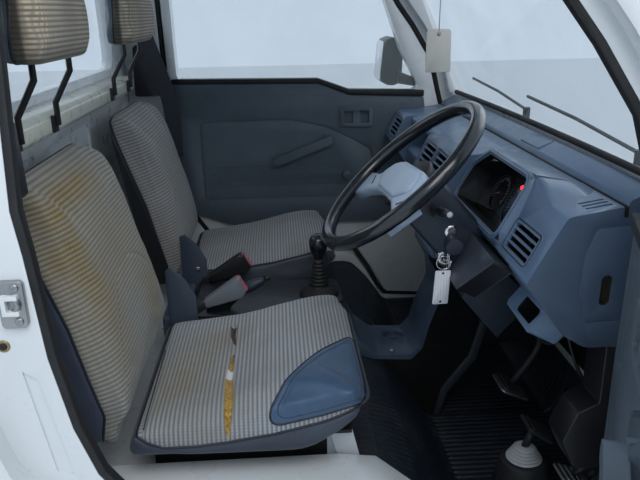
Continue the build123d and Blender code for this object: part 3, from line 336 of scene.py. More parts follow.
def dashboard_look(name):
    """Slate moulding with dust and dark on its knee panel, with painted shade: darker on its end face by the
    door, black inside its hood, bin and groove, and dark brown inside its slot.
    """
    look = Look(name, 0.4, coat=0.2)
    color = dusty(look, SLATE, (0.085, 0.132, 0.205), (0.20, 0.20, 0.19))
    # Painted shade: the end face by the door is darkened as if it lay in shade.
    end = look.within(sides(y=(None, -589.3)))
    color = look.mix(look.times(end, 0.55), color, (0.028, 0.036, 0.052))
    knee = band(-506, -195, -97, 3, -15.5, 23)
    color = look.mix(look.within(knee), color, (0.012, 0.014, 0.018))
    knee_front = [(FACE_OUT, face_point(0, 0, 21.3))] + knee
    color = look.mix(look.within(knee_front), color, (0.040, 0.050, 0.068))
    # Painted shade: near black inside the instrument hood, the bin and the groove, where shade falls in these
    # hollows.
    hood = band(-437, -147, 20, 139, -46, 13.0)
    bin_in = band(-572, -496, -63, -29, -95, -55.6)
    groove = sides(x=(952.4, 959.4), z=(640, 657))
    for hollow in (hood, bin_in, groove):
        color = look.mix(look.within(hollow), color, (0.007, 0.008, 0.010))
    # Painted shade: dark brown inside the slot in the end face.
    slot = sides(x=(929, 948), z=(498, 553), y=(-589.4, -576))
    look.color(look.mix(look.within(slot), color, (0.028, 0.022, 0.014)))
    look.rough(look.cloud(26.0, 0.3, 0.7, a=0.34, b=0.5))
    look.bump(look.grain(1100.0), 0.22, 0.0003)
    return look.material


def vent_look(name):
    """Slate slats with painted shade: they go black a little way in, where shade falls inside the vent."""
    look = Look(name, 0.4)
    shallow = look.plane(FACE_OUT, face_point(0, 0, -5.0))
    pod = look.plane(FACE_OUT, face_point(0, 0, POD_OUT - 5.0))
    driver = look.within(sides(y=(None, -300)))
    # Painted shade: black more than a few millimetres in, on the driver's flush vent and in the pod's vents.
    share = look.math("MAXIMUM", pod, look.times(shallow, driver))
    slate = look.blotched(9.0, (0.140, 0.205, 0.305), (0.105, 0.155, 0.232), 4.0)
    look.color(look.mix(share, (0.006, 0.007, 0.009), slate))
    look.bump(look.grain(1100.0), 0.2, 0.0003)
    return look.material


def console_look(name):
    """Slate moulding that goes black on its top between the seats."""
    look = Look(name, 0.42, coat=0.15)
    slate = dusty(look, (0.060, 0.092, 0.140), (0.045, 0.070, 0.106), (0.16, 0.15, 0.13))
    top = look.within(sides(x=(None, 609), z=(180, None)))
    look.color(look.mix(top, slate, (0.014, 0.016, 0.021)))
    look.rough(look.cloud(26.0, 0.3, 0.7, a=0.36, b=0.5))
    look.bump(look.grain(1000.0), 0.25, 0.0003)
    return look.material


def bases_look(name):
    """Black seat frames with slate hinge covers and a pale leg beside each cushion."""
    look = Look(name)
    color = look.blotched(9.0, (0.013, 0.013, 0.015), (0.024, 0.022, 0.020))
    for low, high in ((-123, -113), (113, 123)):
        color = look.mix(look.within(sides(y=(low, high), z=(251, None))), color, (0.036, 0.050, 0.076))
    for low, high in ((-501, -485), (465, 481)):
        leg = sides(y=(low, high), x=(518, None), z=(None, 242))
        color = look.mix(look.within(leg), color, (0.66, 0.69, 0.71))
    look.color(color)
    look.bump(look.grain(900.0), 0.2, 0.0004)
    return look.material


def tag_look(name):
    """Blank pale card with faint rules."""
    look = Look(name, specular=0.4)
    rules = look.ramp(look.bands("X", 0.0052), 0.75, 1.0)
    look.color(look.mix(look.times(rules, 0.35), (0.66, 0.68, 0.72), (0.30, 0.33, 0.40)))
    look.bump(look.noise(300.0), 0.1, 0.0003)
    return look.material


def glowing(name, color, strength):
    """A lit lamp."""
    look = Look(name, 0.3)
    look.color(look.mix(look.noise(200.0), color, toned(color, 0.8)))
    look.fill(look.shader, Emission_Color=color, Emission_Strength=strength)
    return look.material


M = {
    "dashboard": dashboard_look("dashboard_slate"),
    "dash_plain": plain("dash_slate_plain", SLATE, 0.4, coat=0.2, grain=1100, deep=0.2, wear=0.18),
    "dial": plain("dial_black", (0.006, 0.007, 0.009), 0.14, coat=0.5, grain=900, deep=0.02, wear=0.2),
    "dial_mark": plain("dial_mark", (0.20, 0.22, 0.25), grain=900, deep=0.05, wear=0.1),
    "lamp_red": glowing("lamp_red", (0.9, 0.02, 0.02), 2.5),
    "tip": plain("stalk_tip", (0.42, 0.45, 0.50), 0.4, deep=0.1, wear=0.1),
    "tag": tag_look("tag_card"),
    "loom": plain("loom_black", (0.012, 0.012, 0.014), 0.45, grain=300, deep=0.4, wear=0.3),
    "paint": painted("body_white", (0.72, 0.745, 0.755)),
    "cream": painted("cream_white", (0.80, 0.79, 0.68), 0.35),
    "dash": plain("dash_slate", (0.070, 0.095, 0.132), 0.42, coat=0.15, grain=900, deep=0.25, wear=0.2),
    "dash_dark": plain("dash_navy", (0.020, 0.030, 0.048), grain=900, deep=0.25),
    "trim": plain("trim_slate", (0.088, 0.116, 0.145), grain=800, deep=0.3, wear=0.2),
    "black": plain("plastic_black", (0.012, 0.012, 0.014), 0.42, grain=900),
    "rubber": plain("rubber_black", (0.011, 0.011, 0.012), 0.62, grain=500, deep=0.3, wear=0.4),
    "chassis": plain("chassis_black", (0.02, 0.02, 0.022), 0.55, grain=300, deep=0.3),
    "bumper": plain("bumper_grey", (0.060, 0.063, 0.068), 0.6, grain=500, deep=0.35, wear=0.2),
    "steel": plain("steel_worn", (0.42, 0.42, 0.42), 0.35, 0.9, grain=400, deep=0.12),
    "chrome": plain("chrome", (0.75, 0.75, 0.76), 0.12, 1.0, grain=200, deep=0.03),
    "glass": glass("glass_clear", (0.62, 0.70, 0.68), 0.13),
    "lamp": glass("lamp_clear", (0.75, 0.78, 0.80), 0.55),
    "visor": plain("visor_vinyl", (0.50, 0.49, 0.45), 0.7, grain=500, deep=0.3),
    "rim": plain("rim_black", (0.009, 0.011, 0.015), 0.2, coat=0.4, grain=900, deep=0.03, wear=0.1),
    "pad": plain("pad_silver", (0.40, 0.49, 0.62), 0.36, grain=900, deep=0.12, wear=0.15),
    "vent": vent_look("vent_slate"),
    "piping": plain("piping_navy", (0.010, 0.013, 0.024), 0.45, grain=700, deep=0.1),
    "thread": plain("thread_blue", (0.035, 0.055, 0.095), 0.6, grain=1500, deep=0.3),
    "driver_cushion": seat_cloth("seat_driver_cushion", (0.036, 0.044, 0.062), (0.40, 0.42, 0.44),
                                 (0.165, 0.175, 0.19)),
    "driver_back": seat_cloth("seat_driver_back", (0.036, 0.044, 0.068), (0.34, 0.33, 0.285)),
    "passenger_cushion": seat_cloth("seat_passenger_cushion", (0.026, 0.030, 0.040), (0.37, 0.39, 0.40)),
    "passenger_back": seat_cloth("seat_passenger_back", (0.010, 0.011, 0.015)),
    "headrest_pads": head_cloth("head_cloth"),
    "belt": webbing("belt_webbing"),
    "mat": soiled_mat("mat_ribbed"),
    # Near-black sheet colour: painted shade where the footwell's front wall and the console's lower sides lie
    # in shade
    "shade_sheet": plain("painted_shade_black", (0.010, 0.010, 0.011), 0.95, grain=260, deep=0.5, wear=0.4, specular=0.2),
    "strut": plain("strut_grey", (0.032, 0.038, 0.048), grain=700, deep=0.2),
    "pedal_rubber": plain("pedal_rubber", (0.020, 0.021, 0.023), 0.6, grain=500, deep=0.3, wear=0.3),
    "buckle_grey": plain("buckle_grey", (0.15, 0.165, 0.19), 0.4, grain=900, wear=0.2),
    "button_red": plain("button_red", (0.50, 0.10, 0.12), 0.45, grain=900, deep=0.1, wear=0.15),
    "brass": plain("brass_dull", (0.34, 0.27, 0.12), 0.4, 0.8, grain=500, deep=0.1),
    "tag_plain": plain("tag_plain", (0.66, 0.64, 0.58), 0.55, grain=500, deep=0.1, wear=0.12, specular=0.4),
    "console": console_look("console_slate"),
    "bases": bases_look("seat_base_black"),
    "boot_white": plain("boot_white", (0.52, 0.53, 0.54), 0.6, grain=300, deep=0.2, wear=0.35),
}

DRESS = {
    "paint": "side_frame_left side_frame_right rear_wall roof_panel front_panel door_left_shell "
             "door_right_shell floor_pan",
    "cream": "rear_crossmember",
    "bumper": "front_bumper",
    "dashboard": "dashboard",
    "console": "centre_console",
    "bases": "seat_bases",
    "trim": "door_left_trim door_right_trim",
    "dash_dark": "steering_column",
    "black": "instrument_cluster heater_box belt_fittings gear_lever handbrake interior_mirror "
             "door_left_mirror door_right_mirror buckles wipers headrest_rods",
    "rubber": "door_seals floor_mat pedals",
    "chassis": "frame_rails",
    "glass": "windscreen rear_glass door_left_glass door_right_glass",
    "lamp": "front_lamps",
    "visor": "sun_visors headrest_pads belt_webbing driver_cushion driver_back passenger_cushion "
             "passenger_back",
    "rim": "steering_wheel",
    "vent": "air_vents",
}
for material, names in DRESS.items():
    for name in names.split():
        nodes[name].data.materials.clear()
        nodes[name].data.materials.append(M[material])


def smooth_faces(mesh):
    for face in mesh.polygons:
        face.use_smooth = True


def soften(node, width=0.002, angle=35.0):
    """Round the edges of a carried-over piece and smooth its curved faces."""
    node.modifiers.new("weld", "WELD").merge_threshold = 0.00005
    flat = node.modifiers.new("flat", "DECIMATE")
    flat.decimate_type = "DISSOLVE"
    flat.angle_limit = math.radians(0.5)
    edge = node.modifiers.new("edge", "BEVEL")
    edge.width = width
    edge.segments = 2
    edge.limit_method = "ANGLE"
    edge.angle_limit = math.radians(angle)
    edge.harden_normals = True
    smooth_faces(node.data)


for name, node in nodes.items():
    if name not in DRESS["glass"].split():
        soften(node)

# mesh helpers: a part is its points in metres and its faces

def from_parts(name, parts):
    """Several parts as one mesh."""
    points = []
    faces = []
    for part_points, part_faces in parts:
        first = len(points)
        points += [tuple(p) for p in part_points]
        faces += [tuple(first + i for i in face) for face in part_faces]
    mesh = bpy.data.meshes.new(name)
    mesh.from_pydata(points, [], faces)
    mesh.validate()
    mesh.update()
    return mesh


def shown(name, parts, material, body="cab"):
    """Puts parts in the scene as one piece that rides on a body."""
    piece = bpy.data.objects.new(name, from_parts(name, parts))
    bpy.context.scene.collection.objects.link(piece)
    piece.data.materials.append(M[material])
    smooth_faces(piece.data)
    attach(piece, body)
    return piece


def circle(count):
    return [2 * math.pi * k / count for k in range(count)]


def swept(rings, closed=False, caps=True):
    """A skin through rings of equally many points, with both ends capped unless it closes on itself."""
    wide = len(rings[0])
    faces = []
    for i in range(len(rings) if closed else len(rings) - 1):
        low, high = i * wide, (i + 1) % len(rings) * wide
        for k in range(wide):
            j = (k + 1) % wide
            faces.append((low + k, low + j, high + j, high + k))
    if caps and not closed:
        faces.append(tuple(range(wide))[::-1])
        faces.append(tuple(range((len(rings) - 1) * wide, len(rings) * wide)))
    return [p for ring in rings for p in ring], faces


def tube(line, radius, sides=8, closed=False, taper=None):
    """A round tube along a line of points."""
    line = [Vector(p) for p in line]
    count = len(line)
    rings = []
    normal = None
    for i, here in enumerate(line):
        before = line[i - 1] if i > 0 or closed else here
        after = line[(i + 1) % count] if i < count - 1 or closed else here
        way = (after - before).normalized()
        if normal is None:
            normal = way.orthogonal().normalized()
        normal = (normal - way * normal.dot(way)).normalized()
        side = way.cross(normal)
        size = radius * (taper(i / max(1, count - 1)) if taper else 1.0)
        rings.append([here + (normal * math.cos(turn) + side * math.sin(turn)) * size
                      for turn in circle(sides)])
    return swept(rings, closed)


def ball_end(line, radius, sides=12):
    """A tube with rounded ends."""
    line = spaced(line, radius)

    def taper(t):
        end = min(t, 1 - t) * (len(line) - 1) / 4
        return math.sqrt(max(0.08, 1 - (1 - min(1.0, end)) ** 2))
    return tube(line, radius, sides, taper=taper)


def smoothed(line, times, closed=False):
    """A line of points with its small steps smoothed out."""
    for _ in range(times):
        moved = [here * 0.5 + (line[i - 1] + line[(i + 1) % len(line)]) * 0.25
                 for i, here in enumerate(line)]
        if not closed:
            moved[0], moved[-1] = line[0], line[-1]
        line = moved
    return line


def spaced(line, pitch, closed=False):
    """Points at an even pitch along a line."""
    if closed:
        line = line + [line[0]]
    total = sum((b - a).length for a, b in zip(line, line[1:]))
    count = max(3, round(total / pitch))
    wanted = [total * i / count for i in range(count if closed else count + 1)]
    result = []
    run = 0.0
    for a, b in zip(line, line[1:]):
        length = (b - a).length
        while len(result) < len(wanted) and wanted[len(result)] <= run + length + 1e-9:
            share = (wanted[len(result)] - run) / length if length > 0 else 0.0
            result.append(a + (b - a) * share)
        run += length
    return result


def outline(points, corner=6):
    """A closed outline with its corners turned into arcs of the radius that each may carry."""
    result = []
    for i, here in enumerate(points):
        radius = here[2] if len(here) > 2 else 0.0
        p = Vector(here[:2])
        a = Vector(points[i - 1][:2]) - p
        b = Vector(points[(i + 1) % len(points)][:2]) - p
        angle = a.angle(b)
        if radius <= 0 or angle > math.radians(176):
            result.append(p)
            continue
        reach = min(radius / math.tan(angle / 2), 0.48 * a.length, 0.48 * b.length)
        radius = reach * math.tan(angle / 2)
        a, b = a.normalized(), b.normalized()
        centre = p + (a + b).normalized() * (radius / math.sin(angle / 2))
        first = p + a * reach - centre
        sweep = first.angle_signed(p + b * reach - centre)
        result += [centre + Matrix.Rotation(-sweep * k / corner, 2) @ first for k in range(corner + 1)]
    return result


def rounded_box(u0, u1, v0, v1, radius):
    return outline([(u0, v0, radius), (u1, v0, radius), (u1, v1, radius), (u0, v1, radius)])


def anticlockwise(points):
    area = sum(a[0] * b[1] - b[0] * a[1] for a, b in zip(points, points[1:] + points[:1]))
    return points if area > 0 else points[::-1]


def inset(points, amount):
    """The outline moved inwards, for one that runs anticlockwise."""
    result = []
    for i, here in enumerate(points):
        u = (here - points[i - 1]).normalized()
        v = (points[(i + 1) % len(points)] - here).normalized()
        nu = Vector((-u.y, u.x))
        nv = Vector((-v.y, v.x))
        result.append(here + (nu + nv) * (amount / max(0.35, 1.0 + nu.dot(nv))))
    return result


def plate(points, levels, place):
    """A body with one outline at (inset, height) levels."""
    return swept([[place(p.x, p.y, height) for p in inset(points, amount)] for amount, height in levels])


def extruded(side_view, y0, y1, ease=1.5):
    """A side outline made solid between two distances across, its edges eased."""
    low, high = min(y0, y1), max(y0, y1)
    levels = [(ease, low), (0.3 * ease, low + 0.3 * ease), (0, low + ease),
              (0, high - ease), (0.3 * ease, high - 0.3 * ease), (ease, high)]
    return plate(anticlockwise([Vector(p) for p in side_view]), levels, lambda u, v, w: at(u, w, v))


def lathe(levels, place, turns=36, caps=True):
    """A body turned about w, through (radius, height) levels."""
    return swept([[place(r * math.cos(turn), r * math.sin(turn), w) for turn in circle(turns)]
                  for r, w in levels], caps=caps)


# place functions: each puts u, v and w, in millimetres, somewhere in the drawing

def upright(x, y, z):
    return lambda u, v, w: at(x + u, y + v, z + w)


def facing(x, y, z, way):
    """On a wall that faces across the cab, w out of it."""
    return lambda u, v, w: at(x + u, y + way * w, z + v)


def slanted(x, y, z, along):
    """With u along a slope in the side view, v across, and w out of the slope."""
    ux, uz = Vector(along).normalized()
    return lambda u, v, w: at(x + ux * u - uz * w, y + v, z + uz * u + ux * w)


def screw(place, radius):
    """A round head with a cross in it, standing out along w."""
    head = lathe([(radius, 0), (radius, 1.2), (radius * 0.8, 2.6), (radius * 0.3, 3.1)], place, 20)
    return [head] + [plate(rounded_box(-a, a, -b, b, 0.5), [(0, 2.6), (0, 3.5), (0.3, 3.6)], place)
                     for a, b in ((radius * 0.5, radius * 0.12), (radius * 0.12, radius * 0.5))]


# numbers on a mesh, as arrays with one row or value per vertex

def read_points(mesh):
    """A mesh's points in drawing millimetres."""
    flat = np.empty(len(mesh.vertices) * 3)
    mesh.vertices.foreach_get("co", flat)
    return flat.reshape(-1, 3) * 1000 + (DRAWN_X, 0, -DRAWN_Z)


def write_points(mesh, points):
    mesh.vertices.foreach_set("co", ((points - (DRAWN_X, 0, -DRAWN_Z)) / 1000).ravel())
    mesh.update()


def read_normals(mesh):
    flat = np.empty(len(mesh.vertices) * 3)
    mesh.vertex_normals.foreach_get("vector", flat)
    return flat.reshape(-1, 3)


def sink(mesh, depth):
    """Moves each point inwards along its normal by a depth in millimetres."""
    write_points(mesh, read_points(mesh) - read_normals(mesh) * depth[:, None])


def note(mesh, **fields):
    """Keeps numbers per vertex on the mesh, for its material to read."""
    for name, values in fields.items():
        layer = mesh.attributes.new(name, "FLOAT", "POINT")
        layer.data.foreach_set("value", np.asarray(values, dtype=float))


def step(value, low, high):
    """0 below low, 1 above high, smooth between."""
    share = np.clip((value - low) / (high - low), 0, 1)
    return share * share * (3 - 2 * share)


def bell(value, width):
    """1 where a value is zero, falling away smoothly to both sides."""
    return np.exp(-(value / width) ** 2)


def softest(a, b, radius):
    """The smaller of two distances, with the corner between them rounded."""
    share = np.clip(0.5 + 0.5 * (b - a) / radius, 0, 1)
    return b * (1 - share) + a * share - radius * share * (1 - share)


def contours(mesh, values):
    """Lines on a mesh where a value per vertex passes zero, as lists of points and a closed mark."""
    mesh.calc_loop_triangles()
    corners = np.empty(len(mesh.loop_triangles) * 3, dtype=np.int64)
    mesh.loop_triangles.foreach_get("vertices", corners)
    corners = corners.reshape(-1, 3)
    above = values[corners] > 0
    links = {}
    places = {}
    for triangle in corners[above.any(axis=1) & ~above.all(axis=1)]:
        keys = []
        for a, b in ((0, 1), (1, 2), (2, 0)):
            i, j = int(triangle[a]), int(triangle[b])
            if (values[i] > 0) != (values[j] > 0):
                key = (min(i, j), max(i, j))
                if key not in places:
                    share = values[i] / (values[i] - values[j])
                    places[key] = mesh.vertices[i].co.lerp(mesh.vertices[j].co, share)
                keys.append(key)
        if len(keys) == 2:
            links.setdefault(keys[0], []).append(keys[1])
            links.setdefault(keys[1], []).append(keys[0])
    lines = []
    unused = set(links)
    ends = [key for key in links if len(links[key]) == 1]
    while unused:
        here = next((key for key in ends if key in unused), None)
        closed = here is None
        if closed:
            here = min(unused)
        line = []
        while here is not None:
            line.append(here)
            unused.discard(here)
            here = next((key for key in links[here] if key in unused), None)
        if len(line) > 6:
            lines.append(([places[key] for key in line], closed))
    return lines


PIPING_STEP = 0.004


def piped(name, mesh, values, radius, material="piping", lowest=None):
    """Tubes laid along the line on a mesh where a value passes zero, only above a height if one is given."""
    found = []
    for line, closed in contours(mesh, values):
        line = spaced(smoothed(line, 6, closed), PIPING_STEP, closed)
        runs = [line]
        if lowest is not None:
            runs = [[]]
            for point in line:
                if point.z * 1000 - DRAWN_Z > lowest:
                    runs[-1].append(point)
                elif runs[-1]:
                    runs.append([])
            runs = [run for run in runs if len(run) > 3]
            closed = closed and len(runs) == 1 and len(runs[0]) == len(line)
        found += [tube(run, radius, 7, closed) for run in runs]
    shown(name, found, material)


# seats: each pad starts as its CAD solid drawn in a little, and cloth pressure fills it

CUSHION_FRONT = 590.0
FRONT_CORNER_R = 66.0
# How far a filled cushion is lifted, spread forward and dropped under its front
CROWN = 17.0
CROWN_OUT = 19.0
UNDER_DROP = 12.0
# How much wider it gets on its outer side, by the door, and on its inner side
SPREAD = 1.06
SPREAD_IN = 1.03
# How far a pad is drawn in before it is filled, and the most that filling moves a point of a seat's
# pad, of a headrest's, and of any pad where the cloth is skipped
PAD_DRAW_IN = 7.0
PAD_CAP = 17.0
HEAD_CAP = 8.0
PAD_VOXEL = 0.006
PAD_ROUNDING = 26
PAD_CALMING = 14
FILL_FRAMES = 20
# The pads, with how firm each one is
PADS = {"driver_cushion": 0.75, "driver_back": 0.7, "passenger_cushion": 0.8, "passenger_back": 0.8,
        "headrest_pads": 0.9}


def edges_of(name):
    """A pad's side edges in drawing millimetres, the low one first."""
    low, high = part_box(name)
    return low[1] * 1000, high[1] * 1000


def rounded_front(points, near, far):
    """Draws a cushion's front corners in to a round plan."""
    middle_x = CUSHION_FRONT - FRONT_CORNER_R
    for sign, edge in ((-1, near), (1, far)):
        middle_y = edge - sign * FRONT_CORNER_R
        dx = points[:, 0] - middle_x
        dy = (points[:, 1] - middle_y) * sign
        away = np.hypot(dx, dy)
        reach = np.maximum(np.abs(dx), np.abs(dy)) / np.maximum(away, 1e-6)
        share = np.where((dx > 0) & (dy > 0), reach, 1.0)
        points[:, 0] = middle_x + dx * share
        points[:, 1] = middle_y + dy * share * sign


def crowned(points, near, far):
    """Lifts a cushion's top towards its front, where it is fullest, and spreads it back to its cut size."""
    upper = step(points[:, 2], 262.0, 325.0)
    points[:, 2] += CROWN * upper * step(points[:, 0], 240.0, 500.0)
    points[:, 2] -= UNDER_DROP * step(-points[:, 2], -300.0, -264.0)
    points[:, 0] += CROWN_OUT * step(points[:, 0], 440.0, 590.0)
    middle = (near + far) / 2
    away = points[:, 1] - middle
    points[:, 1] = middle + away * np.where(away * middle > 0, SPREAD, SPREAD_IN)


def applied(piece):
    """Replaces a piece's mesh by its evaluated one, clears its modifiers and returns the mesh."""
    depsgraph = bpy.context.evaluated_depsgraph_get()
    mesh = bpy.data.meshes.new_from_object(piece.evaluated_get(depsgraph))
    piece.modifiers.clear()
    piece.data = mesh
    return mesh


def calmed(piece, iterations):
    """Smooths a piece's mesh and returns it."""
    smoothing = piece.modifiers.new("smoothing", "SMOOTH")
    smoothing.factor = 0.5
    smoothing.iterations = iterations
    return applied(piece)


def pad_shape(name):
    """The pad before it is filled: remeshed, rounded and drawn in."""
    source = nodes[name].data.copy()
    source.materials.clear()
    piece = bpy.data.objects.new(name + "_soft", source)
    bpy.context.scene.collection.objects.link(piece)
    remesh = piece.modifiers.new("remesh", "REMESH")
    remesh.mode = "VOXEL"
    remesh.voxel_size = PAD_VOXEL
    mesh = calmed(piece, PAD_ROUNDING)
    write_points(mesh, read_points(mesh) - read_normals(mesh) * PAD_DRAW_IN)
    return piece


def held_share(name, points, normals):
    """How firmly each point is held while the pad fills.

    A cushion is held by its underside and rear end, a back by its rear and foot, a headrest by its foot.
    """
    x, _, z = points.T
    if name.endswith("cushion"):
        return np.maximum(step(-normals[:, 2], 0.35, 0.75), step(-x, -212.0, -190.0))
    if name.endswith("back"):
        return np.maximum(step(-normals[:, 0], 0.3, 0.7), step(-z, -345.0, -300.0))
    return step(-z, -886.0, -866.0)


soft = {name: pad_shape(name) for name in PADS}
before = {}
for name, piece in soft.items():
    points = read_points(piece.data)
    held = held_share(name, points, read_normals(piece.data))
    before[name] = (points, held)
    group = piece.vertex_groups.new(name="held")
    for i in np.nonzero(held > 0.02)[0]:
        group.add([int(i)], float(held[i]), "REPLACE")
    cloth = piece.modifiers.new("fill", "CLOTH")
    cloth.settings.quality = 4
    cloth.settings.mass = 0.3
    cloth.settings.tension_stiffness = 12
    cloth.settings.compression_stiffness = 12
    cloth.settings.shear_stiffness = 4
    cloth.settings.bending_stiffness = 0.6
    cloth.settings.use_pressure = True
    cloth.settings.uniform_pressure_force = 4.0
    cloth.settings.effector_weights.gravity = 0.0
    cloth.settings.vertex_group_mass = "held"
    cloth.point_cache.frame_start = 1
    cloth.point_cache.frame_end = FILL_FRAMES
for number in range(1, FILL_FRAMES + 1):
    bpy.context.scene.frame_set(number)
for name, piece in soft.items():
    start, held = before[name]
    mesh = applied(piece)
    moved = read_points(mesh) - start
    seat = name != "headrest_pads"
    length = np.linalg.norm(moved, axis=1, keepdims=True)
    filled = start + moved / np.sqrt(1 + (length / (PAD_CAP if seat else HEAD_CAP)) ** 2)
    write_points(mesh, filled)
    if seat:
        mesh = calmed(piece, PAD_CALMING)
        filled = read_points(mesh)
    if name.endswith("cushion"):
        rounded_front(filled, *edges_of(name))
        crowned(filled, *edges_of(name))
    write_points(mesh, filled)
    piece.vertex_groups.clear()
    piece.modifiers.new("finer", "SUBSURF").levels = 1
    applied(piece)
bpy.context.scene.frame_set(1)

# seams, patch, tear and stains on the filled pads

# Stains: middle, reach and strength; on a cushion over x and y, on a back over y and z
STAINS = {
    "driver_cushion": [(262, -420, 70, 120, 0.55), (330, -300, 60, 60, 0.3)],
    "driver_back": [(-420, 664, 150, 24, 0.95), (-350, 560, 170, 110, 0.5), (-490, 480, 60, 120, 0.55),
                    (-160, 500, 34, 80, 0.6), (-240, 400, 60, 60, 0.75), (-520, 600, 40, 60, 0.6)],
    "passenger_back": [(250, 560, 60, 80, 0.25)],
    "passenger_cushion": [(380, 300, 90, 90, 0.2)],
}
# The line where a cushion's cloth meets its skirt, in the side view
SEAM_X = (180, 202, 222, 248, 300, 347, 428, 510, 560, 600)
SEAM_Z = (296, 290, 276, 265, 265, 269, 279, 297, 313, 331)
BACK_LEAN = 15.0
# A value well off a patch or tear
CLEAR = 50.0
PIPING_R = 0.0024


def stained(name, u, v):
    total = sum(strength * bell(u - cu, ru) * bell(v - cv, rv) for cu, cv, ru, rv, strength in STAINS[name])
    return np.clip(total, 0, 1)


def dress_cushion(name, mesh, near, far):
    """A skirt under a piped seam, a rear seam, and on the driver's a crease, a sewn-on patch and a tear."""
    x, y, z = read_points(mesh).T
    rise = z - np.interp(x, SEAM_X, SEAM_Z)
    side = np.minimum(y - near, far - y)
    inward = rise + np.maximum(0, np.minimum(side, CUSHION_FRONT + 2 - x))
    under = step(-read_normals(mesh)[:, 2], 0.2, 0.6)
    skirt = rise - 400 * (under > 0.5) * (z < 290)
    if name == "passenger_cushion":
        skirt = skirt - 42.0 * step(near + 70 - y, 0, 56)
    rear_seam = x - np.interp(y, (near, far), (215.0, 205.0))
    depth = 2.2 * bell(skirt, 5.0) + 1.6 * bell(rear_seam, 4.0) * (skirt > 0)
    depth += 1.5 * bell(x - 330, 95.0) * bell(y - (near + far) / 2, 130.0) * (skirt > 20)
    patch = np.full(len(x), -CLEAR)
    tear = np.full(len(x), CLEAR)
    if name == "driver_cushion":
        crease = x - np.interp(y, (-530, -260), (409, 402))
        middle_part = step(y, -540, -480) * step(-y, 230, 300)
        depth += (2.6 * bell(crease, 5.5) - 1.4 * bell(crease + 12, 8.0)) * middle_part
        patch = softest((x - 423) * 0.8122 - (y + 543) * 0.5840, x - 414, 16)
        patch = softest(patch, inward - 17, 24)
        patch = softest(patch, CUSHION_FRONT + 9 - x + 0.25 * rise, 34)
        depth -= 2.4 * step(patch, -1.5, 2.5)
        depth += 1.5 * bell(patch - 8, 1.6) + 1.2 * bell(patch - 14, 1.6)
        middle = np.interp(y, (-560, -514, -461, -394, -332, -285), (352, 353, 350, 351, 355, 347))
        half = np.interp(inward, (0, 20, 44, 90, 130, 180, 222, 256), (0, 3.4, 6.6, 8.6, 7.8, 6.0, 4.4, 1.5))
        torn = (inward > 0) & (inward < 256) & (rise > 0) & (y < near + 320)
        tear = np.where(torn, np.abs(x - middle) - half, CLEAR)
        depth += 8.0 * step(-tear, -1.0, 4.0) - 1.2 * bell(tear - 3, 2.5)
    sink(mesh, depth)
    behind = rear_seam < 0
    note(mesh, rib=np.where(behind, y, x) / 1000, thread=np.where(behind, x, y + 0.6 * z) / 1000,
         skirt=skirt, patch=patch, tear=tear, near=y - near, stain=stained(name, x, y))
    piped(name + "_piping", mesh, skirt, PIPING_R)
    piped(name + "_rear_seam", mesh, rear_seam, 0.0013, lowest=292)
    if name == "driver_cushion":
        piped("patch_bead", mesh, patch, 0.0019)
        piped("patch_stitch", mesh, patch - 10, 0.0009, "thread")


def dress_back(name, mesh, near, far):
    """A cover behind a piped seam, an arched channel, a hollow where people lean, and the driver's folds."""
    normals = read_normals(mesh)
    x, y, z = read_points(mesh).T
    lean = math.radians(BACK_LEAN)
    run = (z - 262) * math.cos(lean) - (x - 181) * math.sin(lean)
    thick = (x - 181) * math.cos(lean) + (z - 262) * math.sin(lean)
    behind = np.interp(z, (262, 322, 480, 690, 716), (0, 26, 32, 18, -4)) - thick
    side = np.minimum(y - near, far - y)
    cover = np.where(z > 690, 40 - 0.4 * behind, 34.0 - behind)
    cover = np.where(side < 25, cover, np.maximum(cover, 8))
    cover = np.where(normals[:, 0] < -0.4, -40, cover)
    across = (y - (near + far) / 2) / (far - near)
    arch = 330 + 190 * np.sqrt(np.clip(1 - (across / 0.44) ** 2, 0, 1)) - z
    arch = np.where(np.abs(across) < 0.44, arch, -60)
    depth = 2.4 * bell(cover, 5.0) + 1.8 * bell(arch, 4.0) * (cover > 10)
    if name == "driver_back":
        folds = np.sin(run / 9.0 + 2.5 * np.sin(y / 41.0)) * bell(run - 95, 55)
        depth += folds * step(side, 8, 60) + 6.0 * bell(run - 250, 120.0) * bell(across, 0.34)
    else:
        depth += 4.0 * bell(run - 260, 130.0) * bell(across, 0.34)
    sink(mesh, depth)
    wave = 5.0 * np.sin((y - near) / 120.0) * bell(run - 90, 90)
    note(mesh, rib=(run + wave) / 1000, thread=y / 1000, skirt=cover, patch=np.full(len(x), -CLEAR),
         tear=np.full(len(x), CLEAR), near=y - near, stain=stained(name, y, z))
    piped(name + "_piping", mesh, cover, PIPING_R)


def dress_head(name, mesh, near, far):
    """A moulded shell, and cloth darkened nearly to black along its foot and rear."""
    x, y, z = read_points(mesh).T
    cover = x - (82 + 0.05 * (z - 860))
    seam = x - (104 + 0.02 * (z - 860))
    sink(mesh, 1.6 * bell(cover, 3.5) + bell(seam, 3.0))
    note(mesh, rib=z / 1000, thread=y / 1000, skirt=cover,
         stain=np.maximum(step(-seam, -2, 5) * 0.85, step(-z, -896, -868) * 0.6))
    piped(name + "_piping", mesh, cover, PIPING_R)


DRESS_PAD = {"cushion": dress_cushion, "back": dress_back, "pads": dress_head}
for name, piece in soft.items():
    DRESS_PAD[name.split("_")[1]](name, piece.data, *edges_of(name))
    smooth_faces(piece.data)
    piece.data.materials.clear()
    piece.data.materials.append(M[name])
    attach(piece, "cab")
    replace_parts(piece, name)

# steering wheel: smooth rim with finger grips and a padded silver bar across it

WHEEL_AT = (670.0, -312.0, 650.0)
WHEEL_TILT = math.radians(41.2)
WHEEL_TURN = math.radians(5.0)
RIM_R = 173.5
RIM_THICK = 13.5
